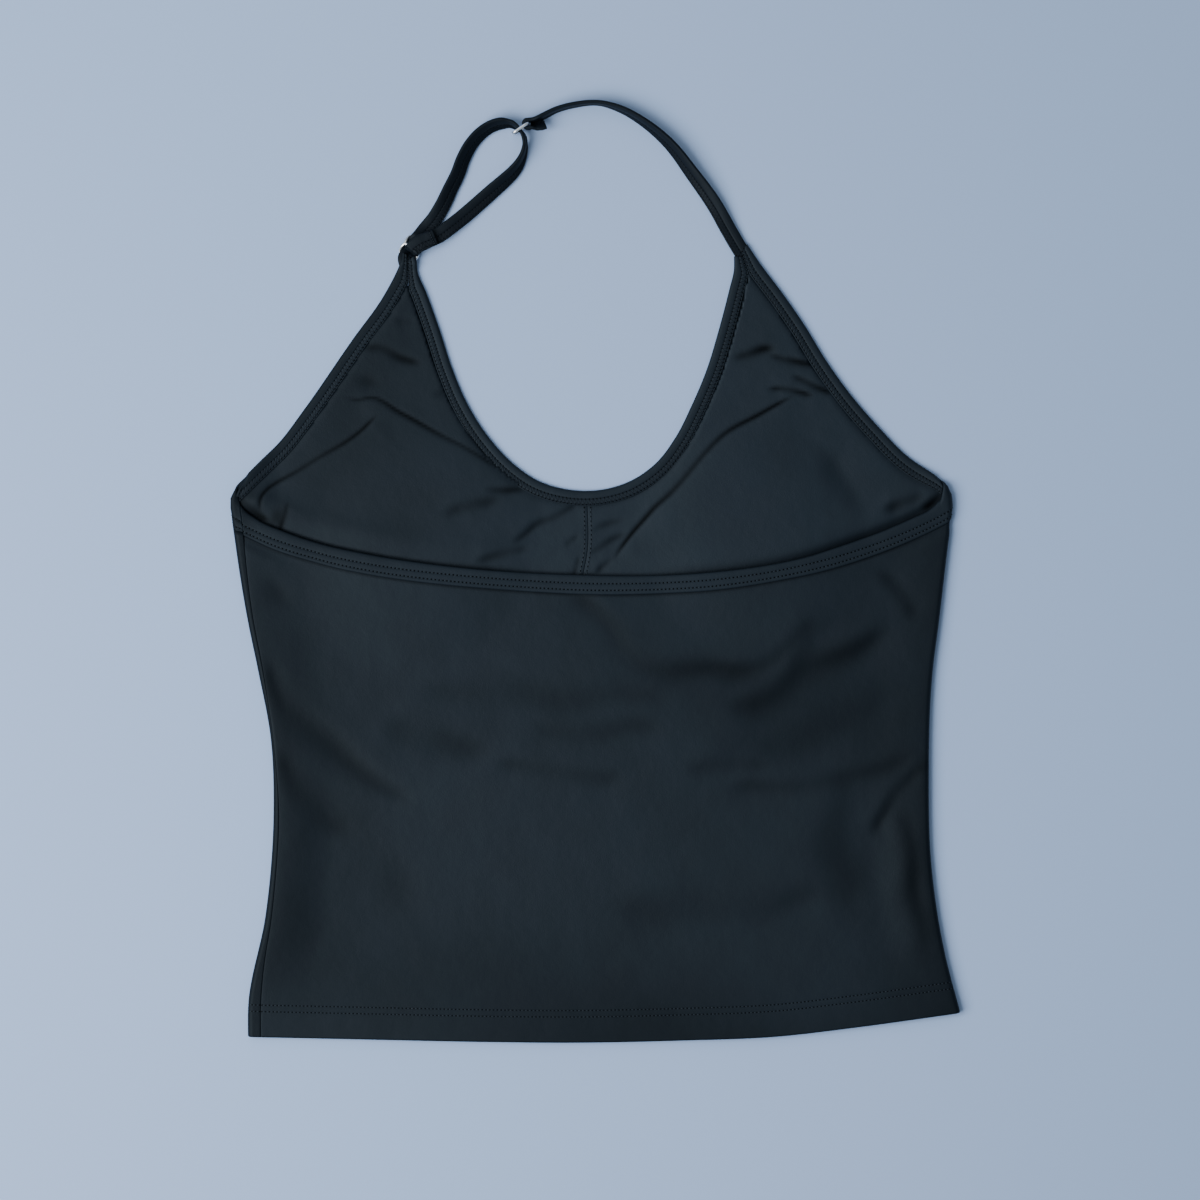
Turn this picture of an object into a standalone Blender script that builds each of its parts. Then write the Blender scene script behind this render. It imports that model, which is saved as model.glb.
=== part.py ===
"""A cropped halter tank top, laid flat with its back up.

+X is to the right, +Y towards the neck and +Z off the surface it lies on. The origin is on that
surface, under the middle of the outline. Tables and sizes are in millimetres, and MM turns them
into metres when a mesh is made.

The body is a flattened tube. The front lies face down on the surface and turns up round the left
side as far as the side seam. The back lies on it and turns down round the right side. A point on
either sheet has an unrolled position: its own x while the sheet is flat, and the distance along
the sheet once it has gone round a side.
"""
import math

import bmesh
import bpy
import numpy as np
from mathutils import Matrix, Vector

MM = 0.001

# Cloth
GAP = 0.4             # between pieces at a seam
CUT_BACK = 0.8       # how far a panel's straight-sided edge stays off a curved binding
CLOTH = 1.0           # shell and lining
BINDING = 2.3         # folded binding
HEM_CLOTH = 2.2       # hem, turned once
HEM_DEPTH = 16.0
SIDE_RADIUS = 2.6     # outer radius of the two side folds
SIDE_HEIGHT = 2 * SIDE_RADIUS
HALF_TURN = math.pi * SIDE_RADIUS

# Body outline: x of the left and right fold at each y, and y of the hem at each x
LEFT_SIDE = ((-247, -183.3), (-229, -183.2), (-181, -174), (-127, -169.8), (-87, -171.4),
             (-52, -178), (-26, -183.4), (17, -190.3), (40, -192.4))
RIGHT_SIDE = ((-234, 192.8), (-200, 184), (-154, 177.1), (-110, 175.8), (-52, 177.9),
              (-26, 181.2), (9, 185.3), (40, 188.8))
HEM = ((-183, -245.4), (-118, -246.8), (-60, -248), (-10, -248.4), (45, -247.3),
       (96, -245.2), (136, -240.6), (192.4, -232.8))
# How far the left side seam lies in from the left fold, at each y
SEAM_INSET = ((-247, 7), (-226, 6.8), (-197, 4.2), (-165, 3.2), (-127, 3), (-87, 1.2),
              (-52, 2.8), (-20, 3.2), (24, 4.5))

# Outer edges of the bindings: x, y from the apex down (armholes), and left to right (neck)
LEFT_ARMHOLE = ((-104, 160.4), (-112.2, 144.9), (-128, 122.8), (-154, 85.3), (-167, 68.4),
                (-180, 56.2), (-189.8, 45.6))
RIGHT_ARMHOLE = ((80, 172.9), (85.9, 164), (99.5, 145.8), (109.6, 131.2), (122.8, 109.8),
                 (136.5, 91.1), (149.7, 76), (165.5, 60.2), (179, 50.6), (185.8, 44.6))
NECK = ((-94.1, 160), (-89, 146.6), (-82, 127), (-75.8, 107.8), (-67.8, 89),
        (-56.4, 71), (-43, 56.6), (-30.4, 48), (-15, 43.4), (3, 43.2), (18.7, 48), (32, 57.4),
        (42.3, 71), (50.6, 87.4), (58.8, 107), (64.6, 126), (70.8, 149.7), (73, 159), (73.1, 166.3))
# The left armhole binding goes on round the left fold: y at each distance round it
LEFT_ARMHOLE_TURN = ((0, 45.6), (4.1, 40.4), (10, 34.8))
# Top and lower edge of the back binding, along the back: unrolled x, y
BACK_TOP = ((-188, 34.4), (-178.7, 28.2), (-167, 22.4), (-140.7, 14.8), (-114.8, 8.8), (-62.6, 1.3),
            (-11, -1.8), (19, -2.4), (59, -0.2), (85, 3.4), (112, 9.4), (139, 18.6), (165.5, 28.6),
            (178, 34.2), (190.3, 40.4), (194.6, 44.4))
BACK_LOW = ((-188, 20.1), (-167, 8.8), (-140.7, 0.4), (-114.8, -4.5), (-62.6, -10.6), (-8, -12.4),
            (19, -12.4), (59, -10.2), (85, -6.6), (112, -1.2), (139, 7), (165.5, 16.6), (186.6, 26.2),
            (194.6, 31.1))
SHARED_ROWS = 7       # rows of the front and the back between the hem and the back's binding
BINDING_WIDTH = 8.0
TIP_DROP = 3.0        # a panel's tip stays this far below the point between two bindings
CORNER_WIDTH = 13.6   # binding width along y where it meets the side
CORNER_LEAN = {-1: 0.7, 1: -1.1}   # how far that cross line leans with the side fold
CORNER_BLEND = (40, 12)  # the cross line turns to lie along the side this far from the corner
# Where the two bindings of a front point meet: the middle of its end, and the panel's tip
LEFT_POINT = ((-99, 160.2), (-98.6, 149.8))
RIGHT_POINT = ((76.6, 169.6), (80.6, 158.2))

# Lining: x of the centre seam at each y, y of the lower edge at each x, and its two cup pads
CENTRE_SEAM = ((-112, -6), (-1, -6.4), (9, -4.5), (40, -4.4))
LINING_EDGE = ((-170, -100), (-110, -106), (-40, -108), (30, -103), (80, -104), (130, -111), (176, -106))
PAD_HEIGHT = 3.2
# centre x, centre y, half length, half width, turn in degrees
PADS = ((-90, 16, 72, 56, -28), (84, 16, 72, 56, 28))

# Long folds as soft ridges: x and y of both ends, half width, height
LINING_FOLDS = ((-122, 96, -52, 58, 7, 0.9), (-128, 84, -178, 42, 7, 0.8), (16, 22, 60, 66, 7, 1.1),
                (58, 64, 102, 92, 7, 0.9))
BACK_FOLDS = ((-168, -62, -128, -104, 10, 0.9), (-128, -104, -98, -116, 10, 0.6),
              (-4, -26, 26, -52, 9, 0.9), (26, -52, 78, -58, 9, 1.0), (128, -20, 112, -52, 9, 1.1),
              (150, 0, 170, -28, 8, 0.7), (-98, -74, 40, -70, 9, 0.4), (168, -108, 146, -140, 9, 0.8),
              (160, -146, 160, -200, 9, 0.9), (118, -112, 134, -172, 12, 0.5),
              (20, -184, 116, -172, 10, 0.4))
EASE = 1.2            # air under the back where nothing folds
EASE_SPAN = (3, 30)   # the back comes down from the side folds between these distances

# Straps: x, y, lift off the surface, roll in degrees (90 stands on edge, left edge up)
STRAP_WIDTH = 8.4
STRAP_THICKNESS = 2.2
PINCHED_THICKNESS = 1.4
HALTER_ROUTE = ((76.1, 170.1, 0, 0), (74.6, 171.8, 0, 0), (69.6, 181.4, 0, -4), (63.6, 192.1, 0, -15), (51, 209.9, 0, -38),
                (38.3, 226, 0, -56), (25.6, 236.7, 0, -69), (12.9, 243.9, 0, -78), (2, 246.95, 0, -86),
                (-11, 246, 0, -88), (-21, 243.4, 0.4, -90), (-28.4, 240.6, 1.2, -90))
HALTER_STUB = ((-31, 235.5, 1.6, -90), (-26.8, 236.3, 1.4, -90))
LOOP_START = ((-99, 161.3, 0, 0), (-99, 162.2, 0.6, 0), (-99.6, 163.6, 1.9, 0))
LOOP_ROUTE = ((-84.9, 186.2, 0, 8), (-80.6, 193.3, 0, 20), (-76.6, 201.6, 0, 30),
              (-72.6, 209.8, 0, 34), (-69.8, 217.4, 0, 38), (-65.7, 225, 0, 42), (-60.4, 231, 0, 46),
              (-55, 234.6, 0, 54), (-49.6, 236.2, 0.4, 66), (-44.4, 236, 1.2, 84), (-40, 233, 1.6, 90),
              (-37.6, 229, 1.2, 90), (-37.1, 225, 0.4, 94), (-37.8, 220.4, 0, 102), (-39.8, 215.6, 0, 118),
              (-43.2, 210.8, 0, 134), (-48.6, 205.6, 0, 146), (-54.6, 200.4, 0, 156),
              (-61.4, 194.4, 0.2, 166), (-71.2, 185.9, 1.4, 176), (-77.2, 181.4, 3.6, 180))
# Near the slider: distance along it from its middle bar, distance left of it, lift, roll
THROUGH_SLIDER = ((-4.4, 0, 1.9, 0), (-2.4, 0, 1.1, 0), (0, 0, -0.4, 0), (2.4, 0.1, 1.1, 0), (4.4, 0.1, 1.9, 0),
                  (9, 0.4, 0.2, 1))
BACK_TO_SLIDER = ((13.4, -7.8, 4.9, 180), (8.5, -4.6, 5.3, 180), (4.4, -1.7, 5.4, 180),
                  (2, -0.5, 5.2, 180))
DOUBLED_END = ((2.4, -0.1, 1.8, 0), (4.6, -1.3, 3.4, 0), (8.5, -4.3, 2.9, 0), (13.4, -7.6, 2.4, 0))

# Metal: the upper ring stands on edge, the slider lies across the left point
WIRE = 1.5
WIRE_GAP = 0.35       # between a wire and the strap that goes round it
METAL_CORNER = 2.2
RING_CENTRE = (-39.4, 233.2)
RING_WAY = (-0.83, -0.56)
RING_HALF = 4.75      # centre to the middle of the wire
RING_HEIGHT = 5.8
RING_PINCH = 5.2      # width of a strap gathered through the ring
SLIDER_CENTRE = (-96.1, 170.2)
SLIDER_WAY = (0.55, 0.835)    # the way the strap runs through it
SLIDER_HALF_LENGTH = 4.4
SLIDER_HALF_WIDTH = 4.9
SLIDER_LOW = 0.8      # height of its two end bars
SLIDER_RISE = 3.4     # how much higher its middle bar is
SLIDER_PINCH = 7.2
PINCH_REACH = (6, 11)  # a strap is pinched this near metal, and full beyond

CLOTH_COLOUR = (0.0125, 0.0165, 0.0215, 1)
LINING_COLOUR = (0.0135, 0.0175, 0.0225, 1)
METAL_COLOUR = (0.72, 0.72, 0.74, 1)


# ---- curves -------------------------------------------------------------------------------

def hermite(keys, values, at):
    """Smooth values at the given keys, through every row of a table."""
    slopes = np.gradient(values, keys, axis=0)
    index = np.clip(np.searchsorted(keys, at, side="right") - 1, 0, len(keys) - 2)
    step = keys[index + 1] - keys[index]
    t = np.clip((at - keys[index]) / step, 0, 1)
    if values.ndim == 2:
        t = t[:, None]
        step = step[:, None]
    first = values[index] * (1 + 2 * t) * (1 - t) ** 2 + slopes[index] * step * t * (1 - t) ** 2
    second = values[index + 1] * t * t * (3 - 2 * t) + slopes[index + 1] * step * t * t * (t - 1)
    return first + second


def graph(table):
    """A function of one number that passes through (key, value) rows."""
    rows = np.array(table, float)

    def value(at):
        return hermite(rows[:, 0], rows[:, 1], np.asarray(at, float))
    return value


def curve(table, count):
    """Evenly spaced points on a smooth curve through the rows of a table."""
    rows = np.array(table, float)
    reach = np.concatenate(([0], np.cumsum(np.linalg.norm(np.diff(rows[:, :2], axis=0), axis=1))))
    fine = hermite(reach, rows, np.linspace(0, reach[-1], 40 * len(rows)))
    walk = np.concatenate(([0], np.cumsum(np.linalg.norm(np.diff(fine[:, :2], axis=0), axis=1))))
    even = np.linspace(0, walk[-1], count)
    return np.stack([np.interp(even, walk, fine[:, axis]) for axis in range(fine.shape[1])], axis=1)


def smooth(low, high, value):
    """0 below low, 1 above high, and an S between."""
    t = np.clip((value - low) / (high - low), 0, 1)
    return t * t * (3 - 2 * t)


def unit(vector):
    return vector / np.linalg.norm(vector, axis=-1, keepdims=True)


left_side = graph(LEFT_SIDE)
right_side = graph(RIGHT_SIDE)
hem_edge = graph(HEM)
seam_inset = graph(SEAM_INSET)
back_top = graph(BACK_TOP)
back_low = graph(BACK_LOW)
centre_seam = graph(CENTRE_SEAM)
lining_edge = graph(LINING_EDGE)


# ---- heights ------------------------------------------------------------------------------

def fold_height(folds, x, y):
    """Height of a table of soft ridges at x, y."""
    height = 0 * x
    for x0, y0, x1, y1, half_width, rise in folds:
        run = np.array((x1 - x0, y1 - y0), float)
        t = np.clip(((x - x0) * run[0] + (y - y0) * run[1]) / run.dot(run), 0, 1)
        away = np.hypot(x - x0 - t * run[0], y - y0 - t * run[1])
        height = height + rise * np.exp(-(away / half_width) ** 2)
    return height


def pad_height(x, y):
    """Rise of the lining over its cup pads."""
    height = 0 * x
    for centre_x, centre_y, half_length, half_width, turn in PADS:
        angle = math.radians(turn)
        along = (x - centre_x) * math.cos(angle) + (y - centre_y) * math.sin(angle)
        across = (y - centre_y) * math.cos(angle) - (x - centre_x) * math.sin(angle)
        reach = (across / half_length) ** 2 + (along / half_width) ** 2
        height = height + PAD_HEIGHT * np.clip(1 - reach, 0, 1)
    return height


def lining_top(x, y):
    inside = np.minimum(x - left_side(y), right_side(y) - x)
    fade = smooth(4, 16, inside)
    return BINDING + fade * (pad_height(x, y) + fold_height(LINING_FOLDS, x, y))


def back_height(x, y):
    """Height of the back's outer face, where it lies flat on the layers below."""
    hem = 1 - smooth(HEM_DEPTH + 1, HEM_DEPTH + 9, y - hem_edge(x))
    over_lining = smooth(-9, 5, y - lining_edge(x))
    below = CLOTH + (HEM_CLOTH - CLOTH) * hem + (lining_top(x, y) - CLOTH) * over_lining
    binding = smooth(-12, -2, y - back_low(x))
    wall = CLOTH + (HEM_CLOTH - CLOTH) * hem + (BINDING - CLOTH) * binding
    ease = EASE * (1 - 0.5 * hem)
    laid = below + ease + wall + fold_height(BACK_FOLDS, x, y) * (1 - hem)
    inside = np.minimum(x - left_side(y), right_side(y) - x) - SIDE_RADIUS
    return SIDE_HEIGHT + (laid - SIDE_HEIGHT) * smooth(*EASE_SPAN, inside)


# ---- the flattened tube -------------------------------------------------------------------

def fold_start(side, y):
    """x where the flat part of a sheet ends and its side fold begins; side is -1 left, 1 right."""
    return left_side(y) + SIDE_RADIUS if side < 0 else right_side(y) - SIDE_RADIUS


def on_tube(unrolled, y, from_back):
    """Outer face and outward normal of a sheet at an unrolled x and a y.

    The front's sheet is flat on the surface and goes up round a side; with from_back it is the
    back's, flat on top and going down round a side.
    """
    unrolled, y = np.broadcast_arrays(np.asarray(unrolled, float), np.asarray(y, float))
    left = fold_start(-1, y)
    right = fold_start(1, y)
    over = np.maximum(left - unrolled, 0) + np.maximum(unrolled - right, 0)
    outwards = np.where(unrolled < left, -1, 1)
    start = np.where(unrolled < left, left, right)
    angle = np.clip(over / SIDE_RADIUS, 0, math.pi)
    beyond = np.maximum(over - HALF_TURN, 0)
    turned = start + outwards * (SIDE_RADIUS * np.sin(angle) - beyond)
    x = np.where(over > 0, turned, unrolled)
    z = SIDE_RADIUS - SIDE_RADIUS * np.cos(angle)
    normal = np.stack([outwards * np.sin(angle), 0 * x, -np.cos(angle)], axis=-1)
    if from_back:
        z = np.where(over > 0, SIDE_HEIGHT - z, back_height(x, y))
        normal[..., 2] *= -1
    return np.stack([x, y, z], axis=-1), normal


def left_seam(y):
    """Unrolled x of the left side seam on the front's sheet."""
    inset = seam_inset(y)
    left = fold_start(-1, y)
    turning = np.clip((SIDE_RADIUS - inset) / SIDE_RADIUS, 0, 1)
    over = np.where(inset < SIDE_RADIUS, SIDE_RADIUS * (math.pi - np.arcsin(turning)),
                    HALF_TURN + inset - SIDE_RADIUS)
    return left - over


def seam_on_back(y):
    """The same seam's unrolled x on the back's sheet."""
    left = fold_start(-1, y)
    return 2 * left - HALF_TURN - left_seam(y)


# ---- the bindings' edges ------------------------------------------------------------------

def normals_of(line, sign):
    """Unit vectors across a line of x, y points, to the left of its way (sign 1) or right (-1)."""
    way = unit(np.gradient(line, axis=0))
    return sign * np.stack([-way[:, 1], way[:, 0]], axis=1)


def held_off(inner, point, sign):
    """Keep a binding's inner edge on its own side of the line down the middle of a front point."""
    (end_x, end_y), (tip_x, tip_y) = point
    middle = tip_x + (inner[:, 1] - tip_y) * (end_x - tip_x) / (end_y - tip_y)
    limit = middle + sign * GAP / 2
    kept = inner.copy()
    near = np.abs(inner[:, 0] - tip_x) < 2 * BINDING_WIDTH
    pick = np.maximum if sign > 0 else np.minimum
    kept[:, 0] = np.where(near, pick(inner[:, 0], limit), inner[:, 0])
    return kept


def armhole_edges(table, count, side, point):
    """Outer and inner edge of an armhole binding while it is flat; side is -1 left, 1 right."""
    outer = curve(table, count)
    walk = np.concatenate(([0], np.cumsum(np.linalg.norm(np.diff(outer, axis=0), axis=1))))
    turn = smooth(-CORNER_BLEND[0], -CORNER_BLEND[1], walk - walk[-1])[:, None]
    square = normals_of(outer, -side) * BINDING_WIDTH
    along_side = np.array((CORNER_LEAN[side], -CORNER_WIDTH))
    inner = outer + square * (1 - turn) + along_side * turn
    return outer, held_off(inner, point, side)


def left_armhole_edges():
    """The left armhole binding: flat, then round the left fold to the seam."""
    outer, inner = armhole_edges(LEFT_ARMHOLE, 30, -1, LEFT_POINT)
    over = np.linspace(0, float(fold_start(-1, 27.0) - left_seam(27.0)) - GAP / 2, 8)[1:]
    high = graph(LEFT_ARMHOLE_TURN)(over)
    low = high - CORNER_WIDTH
    turned_outer = np.stack([fold_start(-1, high) - over, high], axis=1)
    turned_inner = np.stack([fold_start(-1, low) - over, low], axis=1)
    return np.concatenate([outer, turned_outer]), np.concatenate([inner, turned_inner])


def neck_edges():
    outer = curve(NECK, 62)
    inner = outer + normals_of(outer, -1) * BINDING_WIDTH
    inner = held_off(inner, LEFT_POINT, 1)
    return outer, held_off(inner, RIGHT_POINT, -1)


LEFT_ARMHOLE_EDGES = left_armhole_edges()
RIGHT_ARMHOLE_EDGES = armhole_edges(RIGHT_ARMHOLE, 32, 1, RIGHT_POINT)
NECK_EDGES = neck_edges()


def below_edge(line, x):
    """y of a binding's inner edge at x, less the seam gap square to it."""
    order = np.argsort(line[:, 0])
    keys = line[order, 0]
    values = line[order, 1]
    slope = np.gradient(values, keys + 1e-6 * np.arange(len(keys)))
    drop = CUT_BACK * np.sqrt(1 + np.clip(np.interp(x, keys, slope), -4, 4) ** 2)
    return np.interp(x, keys, values) - drop


def front_top(x):
    """Top edge of the front and of the lining, under the neck and armhole bindings."""
    left_tip = LEFT_POINT[1]
    right_tip = RIGHT_POINT[1]
    arm_left = below_edge(LEFT_ARMHOLE_EDGES[1], x)
    arm_right = below_edge(RIGHT_ARMHOLE_EDGES[1], x)
    neck = below_edge(NECK_EDGES[1], x)
    y = np.where(x < left_tip[0], arm_left, np.where(x > right_tip[0], arm_right, neck))
    y = np.where(x < 0, np.minimum(y, left_tip[1] - TIP_DROP), np.minimum(y, right_tip[1] - TIP_DROP))
    return y


def back_panel_top(unrolled):
    slope = np.gradient(back_low(unrolled), unrolled)
    return back_low(unrolled) - CUT_BACK * np.sqrt(1 + slope ** 2)


# ---- solids -------------------------------------------------------------------------------

def material(name, colour, roughness, metallic):
    made = bpy.data.materials.new(name)
    made.use_nodes = True
    shader = made.node_tree.nodes["Principled BSDF"]
    shader.inputs["Base Color"].default_value = colour
    shader.inputs["Roughness"].default_value = roughness
    shader.inputs["Metallic"].default_value = metallic
    return made


def slab(name, upper, lower, colour=CLOTH_COLOUR):
    """One closed piece of cloth: a grid laid on the upper points, extruded to the lower points."""
    rows, columns = upper.shape[:2]
    grid = bmesh.new()
    bmesh.ops.create_grid(grid, x_segments=columns - 1, y_segments=rows - 1, size=1)
    bmesh.ops.extrude_face_region(grid, geom=grid.faces[:])
    grid.verts.index_update()
    for vert in grid.verts:
        column = round((vert.co.x + 1) / 2 * (columns - 1))
        row = round((vert.co.y + 1) / 2 * (rows - 1))
        points = upper if vert.index < rows * columns else lower
        vert.co = Vector(points[row, column] * MM)
    bmesh.ops.recalc_face_normals(grid, faces=grid.faces[:])
    if grid.calc_volume(signed=True) < 0:
        bmesh.ops.reverse_faces(grid, faces=grid.faces[:])
    mesh = bpy.data.meshes.new(name)
    grid.to_mesh(mesh)
    grid.free()
    piece = bpy.data.objects.new(name, mesh)
    mesh.materials.append(material(name, colour, 0.8, 0))
    garment.objects.link(piece)
    return piece


def sheet_slab(name, unrolled, y, wall, from_back, colour=CLOTH_COLOUR):
    """A slab whose outer face lies on the tube, with its wall inside it."""
    outer, normal = on_tube(unrolled, y, from_back)
    return slab(name, outer, outer - normal * wall[..., None], colour)


def rows_above_hem(low, high, count):
    """y of each row of a panel: two across the hem's turned edge, then even ones to the top."""
    turned = np.stack([low, low + HEM_DEPTH - 0.5, low + HEM_DEPTH + 0.5])
    return np.concatenate([turned, rows_between(turned[-1], high, count)])


def rows_between(low, high, count):
    return low + (high - low) * np.linspace(0, 1, count + 1)[1:, None]


def hem_wall(y):
    wall = np.full(y.shape, CLOTH)
    wall[:2] = HEM_CLOTH
    return wall


def front_columns():
    """x of the front's columns between the side folds, evenly spaced along its curved top."""
    inner = NECK_EDGES[1]
    left_x = LEFT_POINT[1][0]
    right_x = RIGHT_POINT[1][0]
    inner = inner[(inner[:, 0] > left_x) & (inner[:, 0] < right_x) & (inner[:, 1] < LEFT_POINT[1][1])]
    walk = np.concatenate(([0], np.cumsum(np.linalg.norm(np.diff(inner, axis=0), axis=1))))
    middle = np.interp(np.linspace(0, walk[-1], 30), walk, inner[:, 0])
    return np.concatenate([np.linspace(fold_start(-1, 40.0), left_x, 12), middle[1:-1],
                           np.linspace(right_x, fold_start(1, 40.0), 12)])


def front_panel():
    """The front shell, from the left side seam round the left fold and across to the right."""
    level = front_columns()
    turn = np.concatenate([np.linspace(0, 1, 7)[:-1], np.ones(len(level))])
    share = np.concatenate([np.zeros(6), (level - level[0]) / (level[-1] - level[0])])

    def unrolled(y):
        left = fold_start(-1, y)
        seam = left_seam(y) + GAP / 2
        right = fold_start(1, y) - GAP
        return seam + (left - seam) * turn + (right - left) * share

    round_fold = (fold_start(-1, 30.0) - unrolled(30.0))[:6]
    wrapped_top = graph(LEFT_ARMHOLE_TURN)(round_fold) - CORNER_WIDTH - CUT_BACK
    high = np.concatenate([wrapped_top, front_top(level)])
    at_hem, _ = on_tube(unrolled(-244.0), -244.0, False)
    at_band, _ = on_tube(unrolled(10.0), 10.0, False)
    band = back_panel_top(at_band[:, 0])
    y = rows_above_hem(hem_edge(at_hem[:, 0]), band, SHARED_ROWS)
    y = np.concatenate([y, rows_between(band, high, 3)])
    return sheet_slab("front_panel", unrolled(y), y, hem_wall(y), False)


def lining(name, side):
    """Half of the lining, from the inside of its side fold to the centre seam."""
    level = front_columns()
    seam_x = float(centre_seam(40.0))
    outer_x = float(fold_start(side, 40.0))
    level = level[(level - seam_x) * side > 2]
    level = np.append(level, seam_x) if side < 0 else np.insert(level, 0, seam_x)
    share = (level - outer_x) / (seam_x - outer_x)
    y = np.linspace(0, 1, 10)[:, None] * (front_top(level) - lining_edge(level)) + lining_edge(level)
    outer = fold_start(side, y) - side * 2 * GAP
    x = outer + (centre_seam(y) + side * GAP / 2 - outer) * share
    upper = np.stack([x, y, lining_top(x, y)], axis=-1)
    lower = np.stack([x, y, np.full(x.shape, CLOTH + 0.3)], axis=-1)
    return slab(name, upper, lower, LINING_COLOUR)


def back_panel():
    """The back, from the left side seam across and down round the right fold."""
    across = np.concatenate([(0, 0), np.linspace(0, 1, 34), np.ones(5)])
    down = np.concatenate([np.zeros(36), np.linspace(0, 1, 6)[1:]])

    def unrolled(y):
        start = seam_on_back(y) + GAP / 2
        left = fold_start(-1, y)
        right = fold_start(1, y)
        flat = left + 10 + (right - left - 10) * across + HALF_TURN * down
        flat[..., 0] = (start + 0 * flat)[..., 0]
        flat[..., 1] = (np.maximum(start + 0.7, left + 0.3) + 0 * flat)[..., 1]
        return flat

    high = back_panel_top(unrolled(10.0))
    at_hem, _ = on_tube(unrolled(-240.0), -240.0, True)
    y = rows_above_hem(hem_edge(at_hem[:, 0]), high, SHARED_ROWS)
    return sheet_slab("back_panel", unrolled(y), y, hem_wall(y), True)


def binding(name, edges, from_back):
    """A folded strip between an outer and an inner edge."""
    outer, inner = edges
    lines = np.stack([inner, outer])
    wall = np.full(lines.shape[:2], BINDING)
    return sheet_slab(name, lines[..., 0], lines[..., 1], wall, from_back)


def back_band():
    """The back's binding, from the left side seam across and down round the right fold."""
    inset = float(seam_on_back(27.0) - fold_start(-1, 27.0)) + GAP / 2
    share = np.concatenate([(0, 0.01), np.linspace(0.025, 1, 38), np.ones(6)])
    down = np.concatenate([np.zeros(40), np.linspace(0, HALF_TURN, 7)[1:]])

    def edge(height, nominal_y):
        left = fold_start(-1, nominal_y) + inset
        x = left + (fold_start(1, nominal_y) - left) * share + down
        return np.stack([x, height(x)], axis=1)

    nominal = np.linspace(0, 1, len(share))
    high = edge(back_top, 34.6 + 5 * nominal)
    low = edge(back_low, 20.4 + 6 * nominal)
    return binding("back_band", (high, low), True)


# ---- straps and metal ---------------------------------------------------------------------

def strap_run(route, count):
    """Stations along a route: centre, width direction and size of each."""
    rows = curve(route, count)
    plan = rows[:, :2]
    roll = np.radians(rows[:, 3])
    side = normals_of(plan, 1)
    across = np.concatenate([side * np.cos(roll)[:, None], np.sin(roll)[:, None]], axis=1)
    rest = (STRAP_WIDTH * np.abs(np.sin(roll)) + STRAP_THICKNESS * np.abs(np.cos(roll))) / 2
    centre = np.concatenate([plan, (rest + rows[:, 2])[:, None]], axis=1)
    size = np.tile(np.array((STRAP_WIDTH, STRAP_THICKNESS)), (count, 1))
    for metal, width in ((RING_CENTRE, RING_PINCH), (SLIDER_CENTRE, SLIDER_PINCH)):
        pinch = 1 - smooth(*PINCH_REACH, np.linalg.norm(plan - np.array(metal), axis=1))[:, None]
        size = size + (np.array((width, PINCHED_THICKNESS)) - size) * pinch
    return centre, across, size


def strap_turn(wire, start, onward, across, width, count):
    """Stations half way round a wire, from the start direction by way of the onward one."""
    radius = WIRE / 2 + WIRE_GAP + PINCHED_THICKNESS / 2
    angle = np.linspace(0, math.pi, count)[:, None]
    points = np.array(wire) + radius * (np.array(start) * np.cos(angle) + np.array(onward) * np.sin(angle))
    return points, np.tile(np.array(across, float), (count, 1)), np.tile((width, PINCHED_THICKNESS), (count, 1))


def strap(name, parts):
    """A folded strip through stations that come in parts."""
    centre = np.concatenate([part[0] for part in parts])
    across = unit(np.concatenate([part[1] for part in parts]))
    size = np.concatenate([part[2] for part in parts])
    way = unit(np.gradient(centre, axis=0))
    across = unit(across - way * np.sum(across * way, axis=1, keepdims=True))
    thick = np.cross(way, across) * size[:, 1:] / 2
    wide = across * size[:, :1] / 2
    upper = np.stack([centre - wide + thick, centre + wide + thick])
    lower = np.stack([centre - wide - thick, centre + wide - thick])
    upper[..., 2] = np.maximum(upper[..., 2], 0)
    lower[..., 2] = np.maximum(lower[..., 2], 0)
    return slab(name, upper, lower)


def halter_strap():
    """From the right point over the neck, round the upper ring's near side, and sewn back."""
    way = np.array((*unit(np.array(RING_WAY)), 0))
    square = np.array((-way[1], way[0], 0))
    near_side = np.array((*RING_CENTRE, RING_HEIGHT)) - RING_HALF * way
    turn = strap_turn(near_side, -square, way, (0, 0, -1), RING_PINCH, 7)
    entry = (turn[0][0][0], turn[0][0][1], RING_HEIGHT - STRAP_WIDTH / 2, -90)
    leaving = (turn[0][-1][0], turn[0][-1][1], RING_HEIGHT - STRAP_WIDTH / 2, -90)
    run = strap_run(HALTER_ROUTE + (entry,), 36)
    stub = strap_run((leaving,) + HALTER_STUB, 5)
    return strap("halter_strap", (run, [part[1:-1] for part in turn], stub))


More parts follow.
